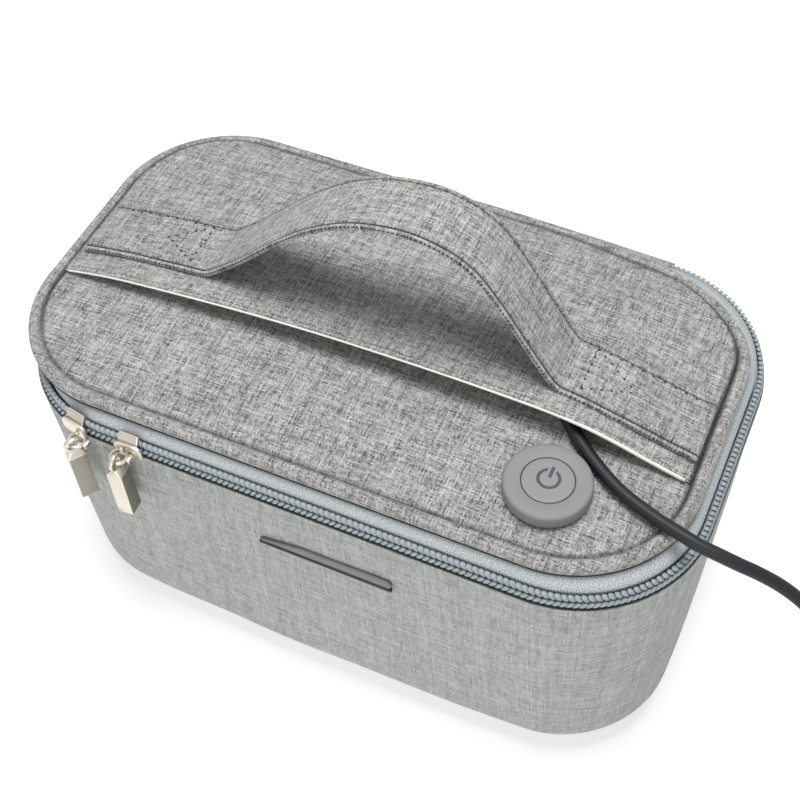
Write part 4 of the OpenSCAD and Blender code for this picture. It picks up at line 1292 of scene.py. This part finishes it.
# %% The printed cap
# The usual power sign in darker grey: a ring that is open at its top, and an upright bar in the opening.
sign_r, sign_half, gap_half, bar_half, bar_mid, bar_reach = 3.3, 0.52, 1.35, 0.55, 2.5, 2.1
printed = finish("grey plastic with power sign", Roughness=0.55)
here = add(printed, "TexCoord").outputs["Object"]
to_middle = (-button.x * MM, -(button.y + 0.6) * MM, 0)
flat = add(printed, "VectorMath", "MULTIPLY_ADD", i0=here, i1=(1, 1, 0), i2=to_middle)
across_up = add(printed, "SeparateXYZ", i0=flat)
beside = add(printed, "Math", "ABSOLUTE", i0=across_up.outputs[0])
from_middle = add(printed, "VectorMath", "LENGTH", i0=flat).outputs[1]
on_ring = add(printed, "Math", "COMPARE", i0=from_middle, i1=sign_r * MM, i2=sign_half * MM)
gap_side = add(printed, "Math", "GREATER_THAN", i0=beside, i1=gap_half * MM)
below = add(printed, "Math", "LESS_THAN", i0=across_up.outputs[1], i1=0.0)
closed = add(printed, "Math", "MAXIMUM", i0=gap_side, i1=below)
on_ring = add(printed, "Math", "MULTIPLY", i0=on_ring, i1=closed)
in_bar = add(printed, "Math", "LESS_THAN", i0=beside, i1=bar_half * MM)
on_bar = add(printed, "Math", "COMPARE", i0=across_up.outputs[1], i1=bar_mid * MM, i2=bar_reach * MM)
on_bar = add(printed, "Math", "MULTIPLY", i0=in_bar, i1=on_bar)
sign = add(printed, "Math", "MAXIMUM", i0=on_ring, i1=on_bar)
add(printed, "Mix", COLOUR, "Base Color", i0=sign, i6="#888687", i7="#363c45")

# %% Electronics
# Green boards, white lamp bodies, clear lenses, black sensor and switch parts.
board_green = finish("green board", Roughness=0.4, Base_Color="#1f5a3c")
lamp_white = finish("white ceramic", Roughness=0.5, Base_Color="#e6e3da")
lens_clear = finish("clear lens", Roughness=0.1, Base_Color="#e8ecf4", Transmission_Weight=0.9)
chip_black = finish("black moulding", Roughness=0.5, Base_Color="#1d1d1f")
plug_steel = finish("switch plate", Metallic=1.0, Roughness=0.35, Base_Color="#b9bbbd")
print(len(bpy.data.materials), "materials")

# %% [markdown]
# ## Dressing and moving bodies
#
# Each piece gets its finish, the CAD parts it replaces and the moving body it
# rides on. The cable and the hinge band cross the hinge, so they ride on neither
# body.

# %% Finishes, slots and bodies
def dress(piece, material, slot, body, *nodes):
    """Give a piece its finish, the body it rides on and the CAD parts it replaces; the slot is not used."""
    piece.data.materials.clear()
    piece.data.materials.append(material)
    if nodes:
        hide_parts(*nodes)
    if body:
        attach(piece, body)


dress(body_cloth, body_fabric, "body_cloth", "case", "body_shell")
dress(body_lining, foil, "lining", "case", "body_liner")
dress(lower_tape, tape_fabric, "zip_tape", "case", "lower_tape")
dress(lower_row, nylon, "zip_teeth", "case", "lower_teeth")
dress(badge, satin, "badge", "case", "badge_plate")
# The black jacket plastic also makes the badge's painted shadow.
dress(badge_shadow_strip, jacket, "badge", "case")
dress(lid_cloth, lid_fabric, "lid_cloth", "lid", "lid_panel", "lid_rim")
dress(rim_shadow_cord, thread, "lid_cloth", "lid")
dress(upper_tape, tape_fabric, "zip_tape", "lid", "upper_tape")
dress(upper_row, nylon, "zip_teeth", "lid", "upper_teeth")
dress(pocket_flap, lid_fabric, "lid_cloth", "lid", "pocket_flap")
dress(edging, binding, "edging", "lid", "flap_edging")
dress(mouth_seam, pale_thread, "edging", "lid")
dress(strap, lid_fabric, "lid_cloth", "lid", "handle_strap")
dress(strap_thread_and_edge_shadow, thread, "lid_cloth", "lid")
dress(foot_seams, thread, "lid_cloth", "lid")
dress(housing, soft_touch, "button", "lid", "button_housing")
dress(cap, printed, "button", "button", "button_cap")
dress(right_slider, plated, "slider", "slider_r", "slider_right")
dress(left_slider, plated, "slider", "slider_l", "slider_left")
dress(right_pull, plated, "slider", "pull_r", "pull_right")
dress(left_pull, plated, "slider", "pull_l", "pull_left")
dress(plug, rubber, "plug", "case", "plug_body")
dress(cable, jacket, "cord", None, "lead", "lead_coil")
dress(hinge_band, body_fabric, "body_cloth", None, "hinge_lower", "hinge_upper")

# The large face of each pull that looks away from its right gets the darker copy: painted shade.
for pull, hung in ((right_pull, right_hung), (left_pull, left_hung)):
    pull.data.materials.append(painted_shade_metal)
    away = (hung.to_3x3() @ Vector((0, 0, -1))).normalized()
    for face in pull.data.polygons:
        face.material_index = 1 if face.normal.dot(away) > 0.8 and face.area > 20 * MM**2 else 0

# %% CAD parts that are shown as they are
nodes = frame["nodes"]
inside = {
    "lid_liner": (foil, "lining"), "magnet_pod": (lamp_white, "sensor"),
    "tact_switch": (chip_black, "switch"), "switch_plunger": (chip_black, "switch_plunger"),
    "control_board": (board_green, "board"), "lamp_board": (board_green, "board"),
    "lamp_chips": (lamp_white, "lamp_body"), "lamp_lenses": (lens_clear, "lamp_lens"),
    "lid_sensor": (chip_black, "sensor"), "lead_gland": (rubber, "cord"),
    "plug_shell": (plug_steel, "plug_metal"), "plug_tongue": (lamp_white, "plug_inner"),
}
for name, (material, slot) in inside.items():
    dress(nodes[name], material, slot, None)
    alone(nodes[name])
    bpy.ops.object.shade_smooth_by_angle(angle=radians(35))
print(len(inside), "CAD parts have a finish")

# %% Soft pieces
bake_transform(cable)
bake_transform(hinge_band)

# %% [markdown]
# ## Floor and light
#
# The picture is a cut-out on pure white with soft light from above. A white
# floor keeps the object's shadow, and the world is plain white behind it. A
# lamp straight above puts the strap's soft shadow under its arch, and a large
# one in front lights the walls.

# %% Floor, world and lamps
bpy.ops.object.select_all(action="DESELECT")
bpy.ops.mesh.primitive_plane_add(size=8, location=(0, 0, -0.4 * MM))
floor = bpy.context.object
floor.name = "white floor"
floor.data.materials.append(finish("white floor", Roughness=1.0, Base_Color="#f4f4f4",
                                   Emission_Color="#ffffff", Emission_Strength=0.45))

# The camera, shiny metal and clear lenses see a white room; its light on the object is weaker.
room = bpy.data.worlds.new("white room")
scene.world = room
room.use_nodes = True
room.node_tree.nodes["Background"].inputs["Color"].default_value = (1, 1, 1, 1)
ray = add(room, "LightPath").outputs
mirrored = add(room, "Math", "MAXIMUM", i0=ray["Is Glossy Ray"], i1=ray["Is Transmission Ray"])
direct = add(room, "Math", "MAXIMUM", i0=ray["Is Camera Ray"], i1=mirrored)
add(room, "MapRange", into="Strength", i0=direct, i1=0.0, i2=1.0, i3=0.24, i4=1.0)


def lamp(name, place, aim, size, power):
    """A square lamp that looks at a point of the object."""
    made = bpy.data.objects.new(name, bpy.data.lights.new(name, "AREA"))
    made.data.size, made.data.energy = size, power
    made.location = place
    made.rotation_euler = (Vector(aim) - Vector(place)).to_track_quat("-Z", "Y").to_euler()
    scene.collection.objects.link(made)


lamp("overhead", (0.02, 0.03, 1.05), (0, 0, 0.1), 0.42, 8.7)
lamp("front", (0.2, -1.1, 0.5), (0, 0, 0.06), 0.9, 4.4)
scene.view_settings.view_transform = "Standard"
